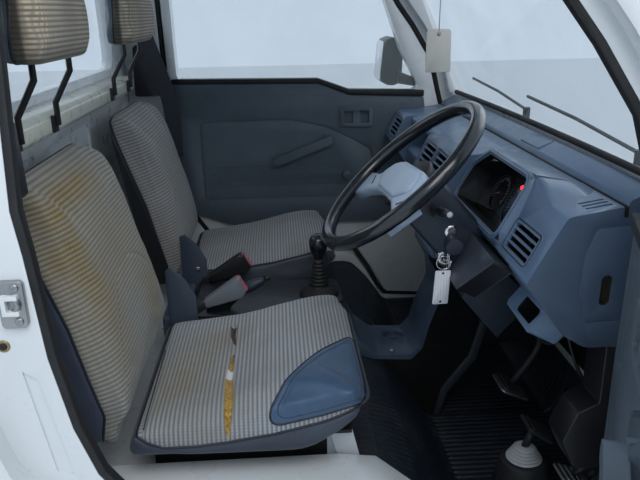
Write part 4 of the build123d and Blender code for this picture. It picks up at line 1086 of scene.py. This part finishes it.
# Places in the wheel's tilted plane that don't turn with it
on_column = slanted(*WHEEL_AT, (math.cos(WHEEL_TILT), math.sin(WHEEL_TILT)))


def on_wheel(u, v, w):
    """A place in the wheel's own plane, turned and tilted as it stands."""
    return on_column(u * math.cos(WHEEL_TURN) - v * math.sin(WHEEL_TURN),
                     u * math.sin(WHEEL_TURN) + v * math.cos(WHEEL_TURN), w)


def rim_ring(turn):
    ring = []
    for bend in circle(20):
        grip = 1.0 - 0.05 * max(0.0, -math.sin(bend)) * (0.5 + 0.5 * math.cos(turn * 32))
        r = RIM_R + RIM_THICK * math.cos(bend) * 0.96
        ring.append(on_wheel(r * math.cos(turn), r * math.sin(turn), RIM_THICK * grip * math.sin(bend)))
    return ring


def mirrored(half):
    """An outline from its half on the side where v is positive."""
    return outline(anticlockwise(half + [(p[0], -p[1]) + p[2:] for p in half[-2:0:-1]]))


shown("wheel_rim_ring", [swept([rim_ring(turn) for turn in circle(96)], closed=True)], "rim", "steering")
bar = mirrored([(30, 0), (30, 60, 20), (20, 87, 20), (-18, 112, 30), (-26, 168), (-88, 148), (-62, 108, 30),
                (-47, 58, 20), (-45, 0)])
raised = mirrored([(24, 0), (24, 56, 14), (14, 80, 14), (-16, 98, 14), (-40, 58, 14), (-40, 0)])
wheel_pad = shown("wheel_pad_bar", [
    plate(bar, [(3, -26), (0, -24), (0, -10), (1.2, -7), (3.6, -5.2), (8, -4.6)], on_wheel),
    plate(raised, [(0, -6), (0, -3), (1.0, -1.4), (3.0, -0.6), (7.0, 0.0)], on_wheel)], "pad", "steering")
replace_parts(wheel_pad, "steering_wheel")
boss = [(0.2, -47), (38, -47), (46, -44), (53, -34), (56, -22), (54, -16), (0.2, -16)]
shown("wheel_boss", [lathe(boss, on_wheel, 40), tube([on_wheel(0, 0, -40), on_wheel(0, 0, -96)], 0.010, 20)],
      "black", "steering")
shown("wheel_grooves", [tube([on_wheel(-36 + 3 * k, sign * (112 + 4 * k), -4.4) for k in range(-3, 4)],
                             0.0012, 6) for sign in (1, -1)], "piping", "steering")

# belts, through their slots and down inside the door openings

STRAP_EDGE = [(-0.5, 0.5), (-0.46, 0.5), (-0.4, 0.32), (0.4, 0.32), (0.46, 0.5), (0.5, 0.5)]
WEB_IN = 70.5


def strap(line, side, width, thick):
    """A flat woven band along a line, its width along one direction, with thin raised edges."""
    rings = []
    section = STRAP_EDGE + [(-share, -lift) for share, lift in STRAP_EDGE]
    for i, here in enumerate(line):
        way = (line[min(i + 1, len(line) - 1)] - line[max(i - 1, 0)]).normalized()
        across = (side - way * side.dot(way)).normalized()
        out = way.cross(across)
        rings.append([here + across * (share * width) + out * (lift * thick) for share, lift in section])
    return swept(rings)


def wall_at(z, inward):
    """Distance from the middle of a place that far inside the door openings' plane."""
    return 650.0 - 0.13 * max(0.0, z - 700.0) - inward


BELT_RUNS = {1: [(71.5, 899), (74, 890), (92, 828), (112, 760), (130, 700), (135, 680), (136, 640),
                 (135, 580), (135, 521)],
             -1: [(69.5, 899), (69.5, 860), (69.5, 760), (69.5, 640), (69.5, 521)]}
belts = []
for sign, run in BELT_RUNS.items():
    line = [at(run[0][0], sign * wall_at(900, 34), 900), at(run[0][0], sign * wall_at(900, 60), 902)]
    line += [at(x, sign * wall_at(z, WEB_IN), z) for x, z in run]
    belts.append(strap(spaced(smoothed(line, 2), 0.012), Vector((1, 0, 0)), 0.046, 0.0024))
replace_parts(shown("belt_webbing_woven", belts, "belt"), "belt_webbing")

# rubber mat: over the seat deck's front, down its slope, over the foot floor and up the toe board

MAT_THICK = 4.0
MAT_PATH = [(556, 172), (610, 172), (640, 163), (672, 148), (700, 116), (724, 86), (744, 57), (760, 32),
            (774, 12), (790, 1), (1068, 1), (1084, 12), (1108, 56), (1117, 80), (1122, 132)]
MAT_LIMIT_X = (556, 600, 655, 720, 792, 900, 1122)
MAT_LIMIT_Y = (500, 511, 558, 588, 598, 600, 600)
MAT_FRONT_X = 806
MAT_PITCH = 16.0
MAT_RIB = 2.6
MAT_EDGE = 14
CONSOLE_SIDE = 108.5
# Steps across the mat beside the console, and before it
SIDE_STEPS = 122
FRONT_STEPS = 54


def mat_patch(rows, low_y, high_y, steps):
    """A closed slab of ribbed mat along rows of the path, between two limits across."""
    rings = []
    for i, here in enumerate(rows):
        way = (rows[min(len(rows) - 1, i + 1)] - rows[max(0, i - 1)]).normalized()
        lo, hi = low_y(here.x), high_y(here.x)
        rib = MAT_RIB * (1.0 if 800 < here.x < 1070 else 0.35)
        upper = []
        lower = []
        for k in range(steps + 1):
            y = lo + (hi - lo) * (k / steps)
            raised = rib if (abs(y) / MAT_PITCH) % 1.0 < 0.5 else 0.0
            if min(y - lo, hi - y) < MAT_EDGE:
                raised = MAT_RIB
            for side, height in ((upper, MAT_THICK + raised), (lower, 0.4)):
                side.append(at(here.x - way.y * height, y, here.y + way.x * height))
        rings.append(lower + upper[::-1])
    return swept(rings)


def mat_limit(x):
    return float(np.interp(x, MAT_LIMIT_X, MAT_LIMIT_Y))


mat_line = spaced([Vector((x, z, 0)) for x, z in MAT_PATH], 9.0)
mat = shown("rubber_mat", [
    mat_patch(mat_line, lambda x: -mat_limit(x), lambda x: -CONSOLE_SIDE, SIDE_STEPS),
    mat_patch(mat_line, lambda x: CONSOLE_SIDE, mat_limit, SIDE_STEPS),
    mat_patch([p for p in mat_line if p.x > MAT_FRONT_X], lambda x: 1.0 - CONSOLE_SIDE,
              lambda x: CONSOLE_SIDE - 1.0, FRONT_STEPS)], "mat")
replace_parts(mat, "floor_mat")
for face in mat.data.polygons:
    face.use_smooth = False

# painted shade: black sheets over the front wall and the lower half of the console, and the console's strut

shade_sheet = [(1128, 152), (1128, 240), (1110, 408), (1074, 590), (1068, 588), (1104, 406), (1121, 239),
        (1121, 152)]
shown("front_wall_shade", [extruded(shade_sheet, -596, 596)], "shade_sheet")
skirt_side = outline([(616, 166), (664, 163), (742, 158, 14), (768, 186, 14), (783, 245, 20), (806, 310, 20),
                      (803, 360), (776, 408), (776, 422), (903, 422), (911, 252, 30), (888, 162, 20),
                      (824, 77, 20), (799, 6), (788, 6), (762, 36), (726, 88), (673, 152)])
strut_side = outline([(918, 420), (919, 250, 20), (895, 158, 20), (832, 74, 20), (812, 12), (797, 12),
                      (813, 82, 20), (875, 166, 20), (898, 252, 20), (898, 420)])
for name, near, far in (("near", -109.2, -106.2), ("far", 52.3, 55.2)):
    shown("console_skirt_" + name, [extruded(skirt_side, near, far, 0.8)], "shade_sheet")
shown("console_strut", [extruded(strut_side, -118, -109.4, 3.0)], "strut")

# pedals: rubber and metal pads on bent arms, and the brake's pale ribbed boot on a black ring

def foot_pad(x, y, z, along, long, wide, ribs, radius=9.0, thick=9.0):
    """A pedal's pad with raised ribs across it."""
    place = slanted(x, y, z, along)
    parts = [plate(rounded_box(-long / 2, long / 2, -wide / 2, wide / 2, radius),
                   [(2.5, 0), (0, 2.2), (0, thick - 3), (1.2, thick - 0.8), (3.2, thick)], place)]
    pitch = (long - 14) / ribs
    for k in range(ribs):
        u = -long / 2 + 7 + pitch * (k + 0.5)
        parts.append(plate(rounded_box(u - pitch * 0.3, u + pitch * 0.3, 5 - wide / 2, wide / 2 - 5, 2),
                           [(0, thick - 1), (0, thick + 1.6), (0.9, thick + 2.6)], place))
    return parts


brake_place = upright(925, -370, 6)
ring = lathe([(57, 0), (58, 2), (58, 8), (47, 56), (44, 60), (36, 61)], brake_place)
brake_arm = tube([at(925, -370, 92), at(931, -370, 110), at(940, -370, 130)], 0.008, 12)
clutch_line = [at(x, -240, z) for x, z in ((936, 162), (960, 196), (985, 236), (1006, 320), (1040, 520))]
fuel_line = [at(x, -490, z) for x, z in ((972, 112), (1026, 160), (1052, 250), (1066, 465))]
arms = [brake_arm, tube(spaced(clutch_line, 0.02), 0.007, 10), tube(spaced(fuel_line, 0.02), 0.0055, 10)]
pads = foot_pad(943, -372, 131, (52, -36), 62, 60, 5) + foot_pad(932, -243, 155, (58, -26), 60, 70, 5)
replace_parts(shown("pedal_rubbers", [ring] + arms + pads, "pedal_rubber"), "pedals")
folds = []
for k in range(5):
    z, r = 61 + 5.6 * k, 36 - 3.4 * k
    folds += [(r - 3.5, z), (r, z + 1.6), (r, z + 3.0), (r - 3.8, z + 4.6)]
shown("brake_boot", [lathe(folds + [(14, 90)], brake_place)], "boot_white")
clutch_back = plate(rounded_box(-33, 33, -38, 38, 10), [(1, 0), (0, 1), (0, 4.5)],
                    slanted(932, -243, 152, (58, -26)))
shown("pedal_metal_faces", foot_pad(970, -491, 108, (60, -22), 62, 58, 4, 8.0, 7.0) + [clutch_back], "steel")

# dashboard: smooth fairing beside the instrument hood, lips, dials and a red warning lamp

HOOD_END = -441.0
FAIRING_END = -532.0
# How far each point of a fairing's section is from its foot to its crest, then from crest to rear
FAIRING_RISE = (0, 0.45, 0.8)
FAIRING_BACK = (0.04, 0.14, 0.34, 0.66, 1.0)
sections = []
for i in range(19):
    share = i / 18
    y = HOOD_END + (FAIRING_END - HOOD_END) * share
    ease = share * share * (3 - 2 * share)
    crest = on_face(y, 144 - 27 * ease, 8.5 - 10.5 * ease)
    foot = on_face(y, 60 + 42 * ease, 0.4 - 1.5 * ease)
    rear = at(953, y, 656.6 - 2.0 * ease)
    sections.append([foot.lerp(crest, t) for t in FAIRING_RISE] + [foot.lerp(crest, 0.94).lerp(rear, 0.01)]
                    + [crest.lerp(rear, t) for t in FAIRING_BACK]
                    + [at(948, y, 632), at(880, y, 620), on_face(y, 60 + 42 * ease, -8)])
shown("dash_fairing", [swept(sections)], "dash_plain")

hole = anticlockwise(outline([(-150, 23, 18), (-161, 97, 18), (-216, 136, 18), (-434, 135, 18),
                              (-428, 23, 18)]))
shown("hood_lip", [tube([on_face(p.x, p.y, HOOD_OUT + out) for p in inset(hole, amount)], radius, 8, True)
                   for amount, out, radius in ((-3.4, 0.4, 0.0021), (0.6, -2.5, 0.0013))], "dash_plain")
shown("dial_cover", [plate(inset(hole, 1.2), [(0, -34.5), (0, -33.0), (1.5, -32.4)], on_face)], "dial")

DIALS = ((-345.0, 78.0, 44.0), (-247.0, 78.0, 32.0))


def on_dial(y, rise, r, turn, out):
    return on_face(y - r * math.cos(turn), rise + r * math.sin(turn), out)


marks = []
rings = []
NEEDLE = math.radians(205)
for y, rise, r in DIALS:
    for k in range(25):
        turn = math.radians(-30 + 10 * k)
        long = 7.0 if k % 4 == 0 else 3.5
        marks.append(tube([on_dial(y, rise, at_r, turn, -32.0) for at_r in (r - long, r)], 0.0006, 5))
    marks.append(tube([on_face(y, rise, -31.2), on_dial(y, rise, r * 0.8, NEEDLE, -31.2)], 0.0011, 6,
                      taper=lambda t: 1.0 - 0.7 * t))
    rings.append(lathe([(r + 3, -33), (r + 5.5, -32.4), (r + 5.5, -31.0), (r + 4.2, -30.4), (r + 3.2, -31.2)],
                       lambda u, v, w: on_face(y + u, rise + v, w), caps=False))
shown("dial_marks", marks, "dial_mark")
shown("dial_rims", rings, "black")
shown("warning_lamp", [lathe([(4.4, -32.6), (4.4, -31.0), (3.3, -29.9), (0.6, -29.5)],
                             lambda u, v, w: on_face(u - 326, v + 110, w), 20)], "lamp_red")

# a dark gap and a lip round each vent's grille: its sides, bottom, top and distance out
VENTS = ((-555, -446, 16, 71, 0), (-104, -6, 24, 84, POD_OUT), (6, 116, 24, 84, POD_OUT),
         (446, 555, 24, 82, POD_OUT))
gaps = []
lips = []
for low, high, bottom, top, out in VENTS:
    ring = rounded_box(low, high, bottom, top, 9)
    gaps.append(tube([on_face(p.x, p.y, out + 0.9) for p in ring], 0.0012, 7, True))
    lips.append(tube([on_face(p.x, p.y, out + 0.2) for p in inset(ring, -3.2)], 0.0014, 7, True))
shown("vent_gaps", gaps, "black")
shown("vent_lips", lips, "dash_plain")

# windscreen seal, seen as a black band over the cowl's edge
seal_line = [at(1000 + 12 * (1 - (y / 596) ** 2), y, 693) for y in range(-596, 597, 24)]
shown("screen_seal", [tube(seal_line, 0.0065, 10)], "rubber")

# steering column: collar under the wheel, stalk grips with pale tips, lock, key ring and blank tag

column_parts = [lathe([(40, -92), (44, -88), (44, -62), (41, -54), (34, -50), (14, -50)], on_column),
                tube([on_column(50.6, v, -188) for v in (-40, 40)], 0.0008, 6)]
tips = []
for way in (1, -1):
    column_parts.append(ball_end([on_column(8, way * 60, -74), on_column(12, way * 100, -70),
                                  on_column(19.5, way * 152, -61)], 0.0078))
    tips.append(ball_end([on_column(18.6, way * 146, -62), on_column(20.3, way * 164, -59.5)], 0.0092))
lock_place = facing(758, -351, 551, -1)
column_parts.append(lathe([(17, -24), (17, 1), (14.5, 3), (13, 3)], lock_place, 28))
shown("column_dress", column_parts, "black")
shown("stalk_tips", tips, "tip")
wide_ring = [at(744 + 13 * math.cos(turn), -368, 496 + 13 * math.sin(turn)) for turn in circle(24)]
small_ring = [at(754 + 3 * math.sin(turn), -366 + 10 * math.cos(turn), 494 + 10 * math.sin(turn))
              for turn in circle(24)]
shown("ignition_metal", [
    lathe([(11, 0), (12.6, 2.5), (12.6, 5), (10.5, 7), (3.2, 7.2)], lock_place, 28),
    lathe([(17, -16), (17, 0), (15, 3), (9, 3.2), (8.6, 0.8), (3, 0.6)], facing(752, -352, 499, -1), 32),
    plate(rounded_box(-3.5, 3.5, -14, 14, 3.4), [(0.6, -1.4), (0, -0.8), (0, 0.8), (0.6, 1.4)],
          lambda u, v, w: at(752 + w, -366 + u * 3.0, 502 + v)),
    tube(wide_ring, 0.0012, 8, True), tube(small_ring, 0.0011, 8, True)], "chrome")


def on_tag(u, v, w):
    """The blank tag hangs nearly straight down from the ring."""
    return at(741 + u + 0.06 * v, -371 + w + 0.02 * u, 449 + v)


tag_levels = [(0.4, -0.9), (0, -0.5), (0, 0.5), (0.4, 0.9)]
shown("key_tag", [plate(rounded_box(-14.5, 14.5, -33, 33, 2.5), tag_levels, on_tag)], "tag")
hole_levels = [(2.3, 0.8), (2.3, 1.15), (1.6, 1.2)]
shown("key_tag_holes", [lathe(hole_levels, lambda u, v, w: on_tag(u, v + z, -w), 14) for z in (28, -28)],
      "black")

# wiring looms that hang between clips under the dashboard: start, end, drop and radius
LOOMS = (((866, -330, 420), (980, -300, 470), 95, 3.2), ((880, -400, 430), (1010, -430, 500), 120, 2.6),
         ((900, -250, 424), (1040, -290, 520), 80, 4.0), ((930, -470, 440), (1066, -520, 430), 150, 3.4),
         ((960, -540, 450), (1040, -575, 330), 60, 2.4), ((905, -350, 432), (1000, -350, 452), 130, 2.0),
         ((1000, -560, 440), (1072, -440, 400), 90, 3.0))
random.seed(11)
looms = []
for start, end, drop, radius in LOOMS:
    line = []
    sway = random.uniform(-18, 18)
    for k in range(17):
        t = k / 16
        x, y, z = Vector(start).lerp(Vector(end), t)
        line.append(at(x + sway * math.sin(t * 6.3), y + sway * t * (1 - t), z - drop * 4 * t * (1 - t)))
    looms.append(tube(smoothed(line, 2), radius / 1000, 8))
shown("under_dash_looms", looms, "loom")

# buckles on their stems beside the seats: middle, then head, stem and button in the side view
BUCKLES = (
    (-112, [(279, 316, 5), (273, 334, 6), (345, 384, 5), (355, 387, 6), (369, 353, 6), (360, 337, 6)],
     [(286, 318), (278, 335), (240, 312, 10), (228, 284), (250, 284), (254, 298, 8)],
     [(340, 372, 2), (352, 389, 3), (373, 355, 3), (359, 347, 2)]),
    (100, [(267, 291, 5), (262, 311, 6), (340, 363, 5), (353, 365, 6), (371, 332, 6), (361, 316, 6)],
     [(274, 294), (266, 312), (246, 300, 8), (238, 284), (258, 284), (262, 290, 6)],
     [(338, 351, 2), (351, 367, 3), (374, 334, 3), (360, 326, 2)]))
near_parts, far_parts = [[extruded(outline(points), middle - half, middle + half, ease)
                          for points, half, ease in zip(views, (13, 5, 8.5), (4.0, 2.0, 2.0))]
                         for middle, *views in BUCKLES]
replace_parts(shown("buckle_near", near_parts[:1], "buckle_grey"), "buckles")
shown("buckle_far", far_parts[:1], "black")
shown("buckle_stems", [near_parts[1], far_parts[1]], "black")
shown("buckle_buttons", [near_parts[2], far_parts[2]], "button_red")

# gear lever in its ribbed boot
lever_place = upright(536, 0, 0)
gaiter = [(47, 286), (47, 290), (43, 296), (34, 303), (27, 310)]
for k in range(7):
    z, r = 314 + 9.0 * k, 21.5 - 1.25 * k
    gaiter += [(r - 1.6, z), (r + 0.8, z + 2.6), (r + 0.8, z + 5.2), (r - 1.8, z + 7.8)]
knob = [(11, 378), (13, 386), (17.5, 396), (21, 406), (22.4, 416), (21.5, 426), (17.5, 434), (10, 439),
        (1, 440.5)]
lever = shown("gear_lever_boot", [
    plate(rounded_box(-45, 56, -51, 51, 16), [(0, 283), (0, 287.5), (2.5, 289.5)], lever_place),
    lathe(gaiter + [(11.5, 380)], lever_place)], "rubber")
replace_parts(lever, "gear_lever")
shown("gear_lever_knob", [lathe(knob, lever_place, 40)], "rim")

# handbrake
brake_side = outline([(272, 284), (276, 306, 8), (306, 316, 10), (352, 338, 8), (362, 330, 8), (330, 300, 20),
                      (326, 284)])
handbrake = shown("handbrake_lever", [extruded(brake_side, -82, -64, 3.0),
                                      tube([at(408, -70, 359.5), at(419, -70, 364.5)], 0.006, 14)], "black")
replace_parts(handbrake, "handbrake")
shown("handbrake_grip", [ball_end([at(342, -71, 329), at(380, -70, 347), at(412, -70, 361)], 0.0155, 20)],
      "dash_dark")

# tray between the seats, with slots, and the screws of hinge cover, console and deck
tray_levels = [(0, 173), (0, 284), (1.2, 287), (4, 288.5)]
slot_levels = [(0, 287), (0, 288.9), (0.8, 289.2)]
shown("console_tray", [plate(rounded_box(176, 231, -104, 104, 10), tray_levels, at)], "dash")
shown("console_tray_slots", [plate(rounded_box(186, 222, y - 3, y + 3, 2.9), slot_levels, at)
                             for y in range(-88, 89, 16)], "black")
shown("cover_screws", screw(facing(236, 113.8, 322, -1), 7.0) + screw(facing(905, -118.0, 392, -1), 7.5)
      + screw(facing(906, -118.0, 330, -1), 7.5) + screw(upright(700, -88, 174), 6.0), "steel")

# latch striker and door switch on each door post
STRIKER_LOOP = ((84, -1, 592), (90, 9, 590), (103, 11, 586), (106, 11, 576), (103, 11, 566), (90, 9, 562),
                (84, -1, 560))
strikers = []
bodies = []
caps = []
for sign in (-1, 1):
    loop = [at(x, sign * (661 + out), z) for x, out, z in STRIKER_LOOP]
    strikers += [tube(smoothed(loop, 2), 0.0045, 12),
                 extruded(rounded_box(76, 111, 541, 608, 7), sign * 659.5, sign * 669.0, 1.2)]
    for z in (551, 599):
        strikers += screw(facing(100, sign * 668.8, z, sign), 6.0)
    switch_place = facing(70, sign * 660.6, 512, sign)
    bodies.append(lathe([(9.0, -2), (9.0, 1.0), (7.6, 1.8)], switch_place, 24))
    caps.append(lathe([(5.4, 1.5), (5.4, 2.8), (4.0, 4.0)], switch_place, 20))
shown("door_strikers", strikers, "steel")
shown("door_switch_bodies", bodies, "brass")
shown("door_switch_caps", caps, "rubber")

# black strips along the lower edge of the door glasses, and the mirrors' glasses

DOOR_OPEN = Matrix.Rotation(math.radians(68.0), 3, "Z")
hinge = next(joint["pos_m"] for joint in frame["joints"] if joint["name"] == "door_right_swing")
hinge = Vector((hinge[0], hinge[1], 0))


def on_door(sign, place):
    """A place function on a door: the left one is shut, and the right one stands open about its hinge."""
    def turned(u, v, w):
        point = place(u, v, w)
        return point if sign > 0 else DOOR_OPEN @ (point - hinge) + hinge
    return turned


waist = anticlockwise(outline([(136, 732), (579, 725), (674, 689), (905, 679), (906, 697), (674, 705),
                               (579, 740), (136, 747)]))
mirror_slope = slanted(786, 0, 704, (14, 148))
for sign, body in ((1, "door_left"), (-1, "door_right")):
    strip = plate(waist, [(1.2, 603.0), (0, 604.5), (0, 644.0), (1.2, 645.0)],
                  on_door(sign, lambda u, v, w: at(u, sign * w, v)))
    shown(body + "_waist_strip", [strip], "rubber", body)
    mirror = plate(rounded_box(14, 136, 738, 870, 18), [(0, -1.5), (0, 1.2), (1.5, 2.4)],
                   on_door(sign, lambda u, v, w: mirror_slope(u, sign * v, w)))
    shown(body + "_mirror_glass", [mirror], "chrome", body)
inner = plate(rounded_box(1046, 1084, -98, 98, 8), [(0, -2.0), (0, 1.0), (1.5, 2.0)],
              lambda u, v, w: at(799.2 - w + 0.04 * (u - 1040), v, u))
shown("interior_mirror_glass", [inner], "chrome")

# blank card tag that hangs on a wire hook from the inside mirror
card = outline([(777, 803, 4), (833, 803, 4), (832, 893, 8), (779, 895, 8)])
shown("mirror_tag", [plate(card, [(0.4, -3.0), (0, -2.6), (0, -1.8), (0.4, -1.4)],
                           lambda u, v, w: at(u, w, v))], "tag_plain")
hook = [at(805, -2.2, 884), at(805, -2.2, 900), at(806, -2, 960), at(809, -1, 1010), at(811, 0, 1042)]
shown("mirror_tag_hook", [tube(smoothed(hook, 2), 0.0011, 8),
                          lathe([(4.4, 0), (4.4, 1.2), (3.0, 1.6)], facing(805, -3.0, 884, -1), 18)], "steel")

# floor, light and camera
FLOOR_HALF = 14.0
FLOOR_Z = -0.055
corners = [(x * FLOOR_HALF, y * FLOOR_HALF, FLOOR_Z) for x, y in ((-1, -1), (1, -1), (1, 1), (-1, 1))]
ground = bpy.data.objects.new("ground", from_parts("ground", [(corners, [(0, 1, 2, 3)])]))
bpy.context.scene.collection.objects.link(ground)
ground_look = Look("ground", 0.8)
ground_look.color(ground_look.mix(ground_look.noise(3.0), (0.80, 0.80, 0.79), (0.77, 0.77, 0.76)))
ground.data.materials.append(ground_look.material)

world = bpy.data.worlds.new("sky")
bpy.context.scene.world = world
world.use_nodes = True
sky = world.node_tree.nodes["Background"]
sky.inputs["Color"].default_value = (0.70, 0.84, 1.0, 1.0)
sky.inputs["Strength"].default_value = 0.92


def lamp(name, place, aim, size, power, color=(1, 1, 1)):
    data = bpy.data.lights.new(name, "AREA")
    data.shape = "DISK"
    data.size = size
    data.energy = power
    data.color = color
    made = bpy.data.objects.new(name, data)
    made.location = place
    made.rotation_euler = (Vector(aim) - Vector(place)).to_track_quat("-Z", "Y").to_euler()
    made.visible_camera = False
    bpy.context.scene.collection.objects.link(made)


lamp("key", (0.2, -2.2, 2.7), (0, 0, 0.6), 1.8, 32.0, (1.0, 0.98, 0.95))
lamp("fill", (2.6, 1.8, 2.4), (0, 0, 0.7), 2.6, 20.0, (0.85, 0.93, 1.0))
lamp("rear", (-2.4, 1.2, 2.2), (0, 0, 0.9), 2.4, 16.0)

camera_data = bpy.data.cameras.new("camera")
camera_data.sensor_width = 36.0
camera_data.lens = 38.46
camera_data.clip_start = 0.02
camera = bpy.data.objects.new("camera", camera_data)
bpy.context.scene.collection.objects.link(camera)
right = Vector((0.9978, -0.0634, -0.0184))
up = Vector((0.0375, 0.3158, 0.9481))
ahead = Vector((0.0543, 0.9467, -0.3175))
view = Matrix((right, up, -ahead)).transposed()
camera.matrix_world = Matrix.Translation(at(453.0, -1520.0, 935.0)) @ view.to_4x4()
bpy.context.scene.camera = camera
bpy.context.scene.view_settings.view_transform = "Standard"
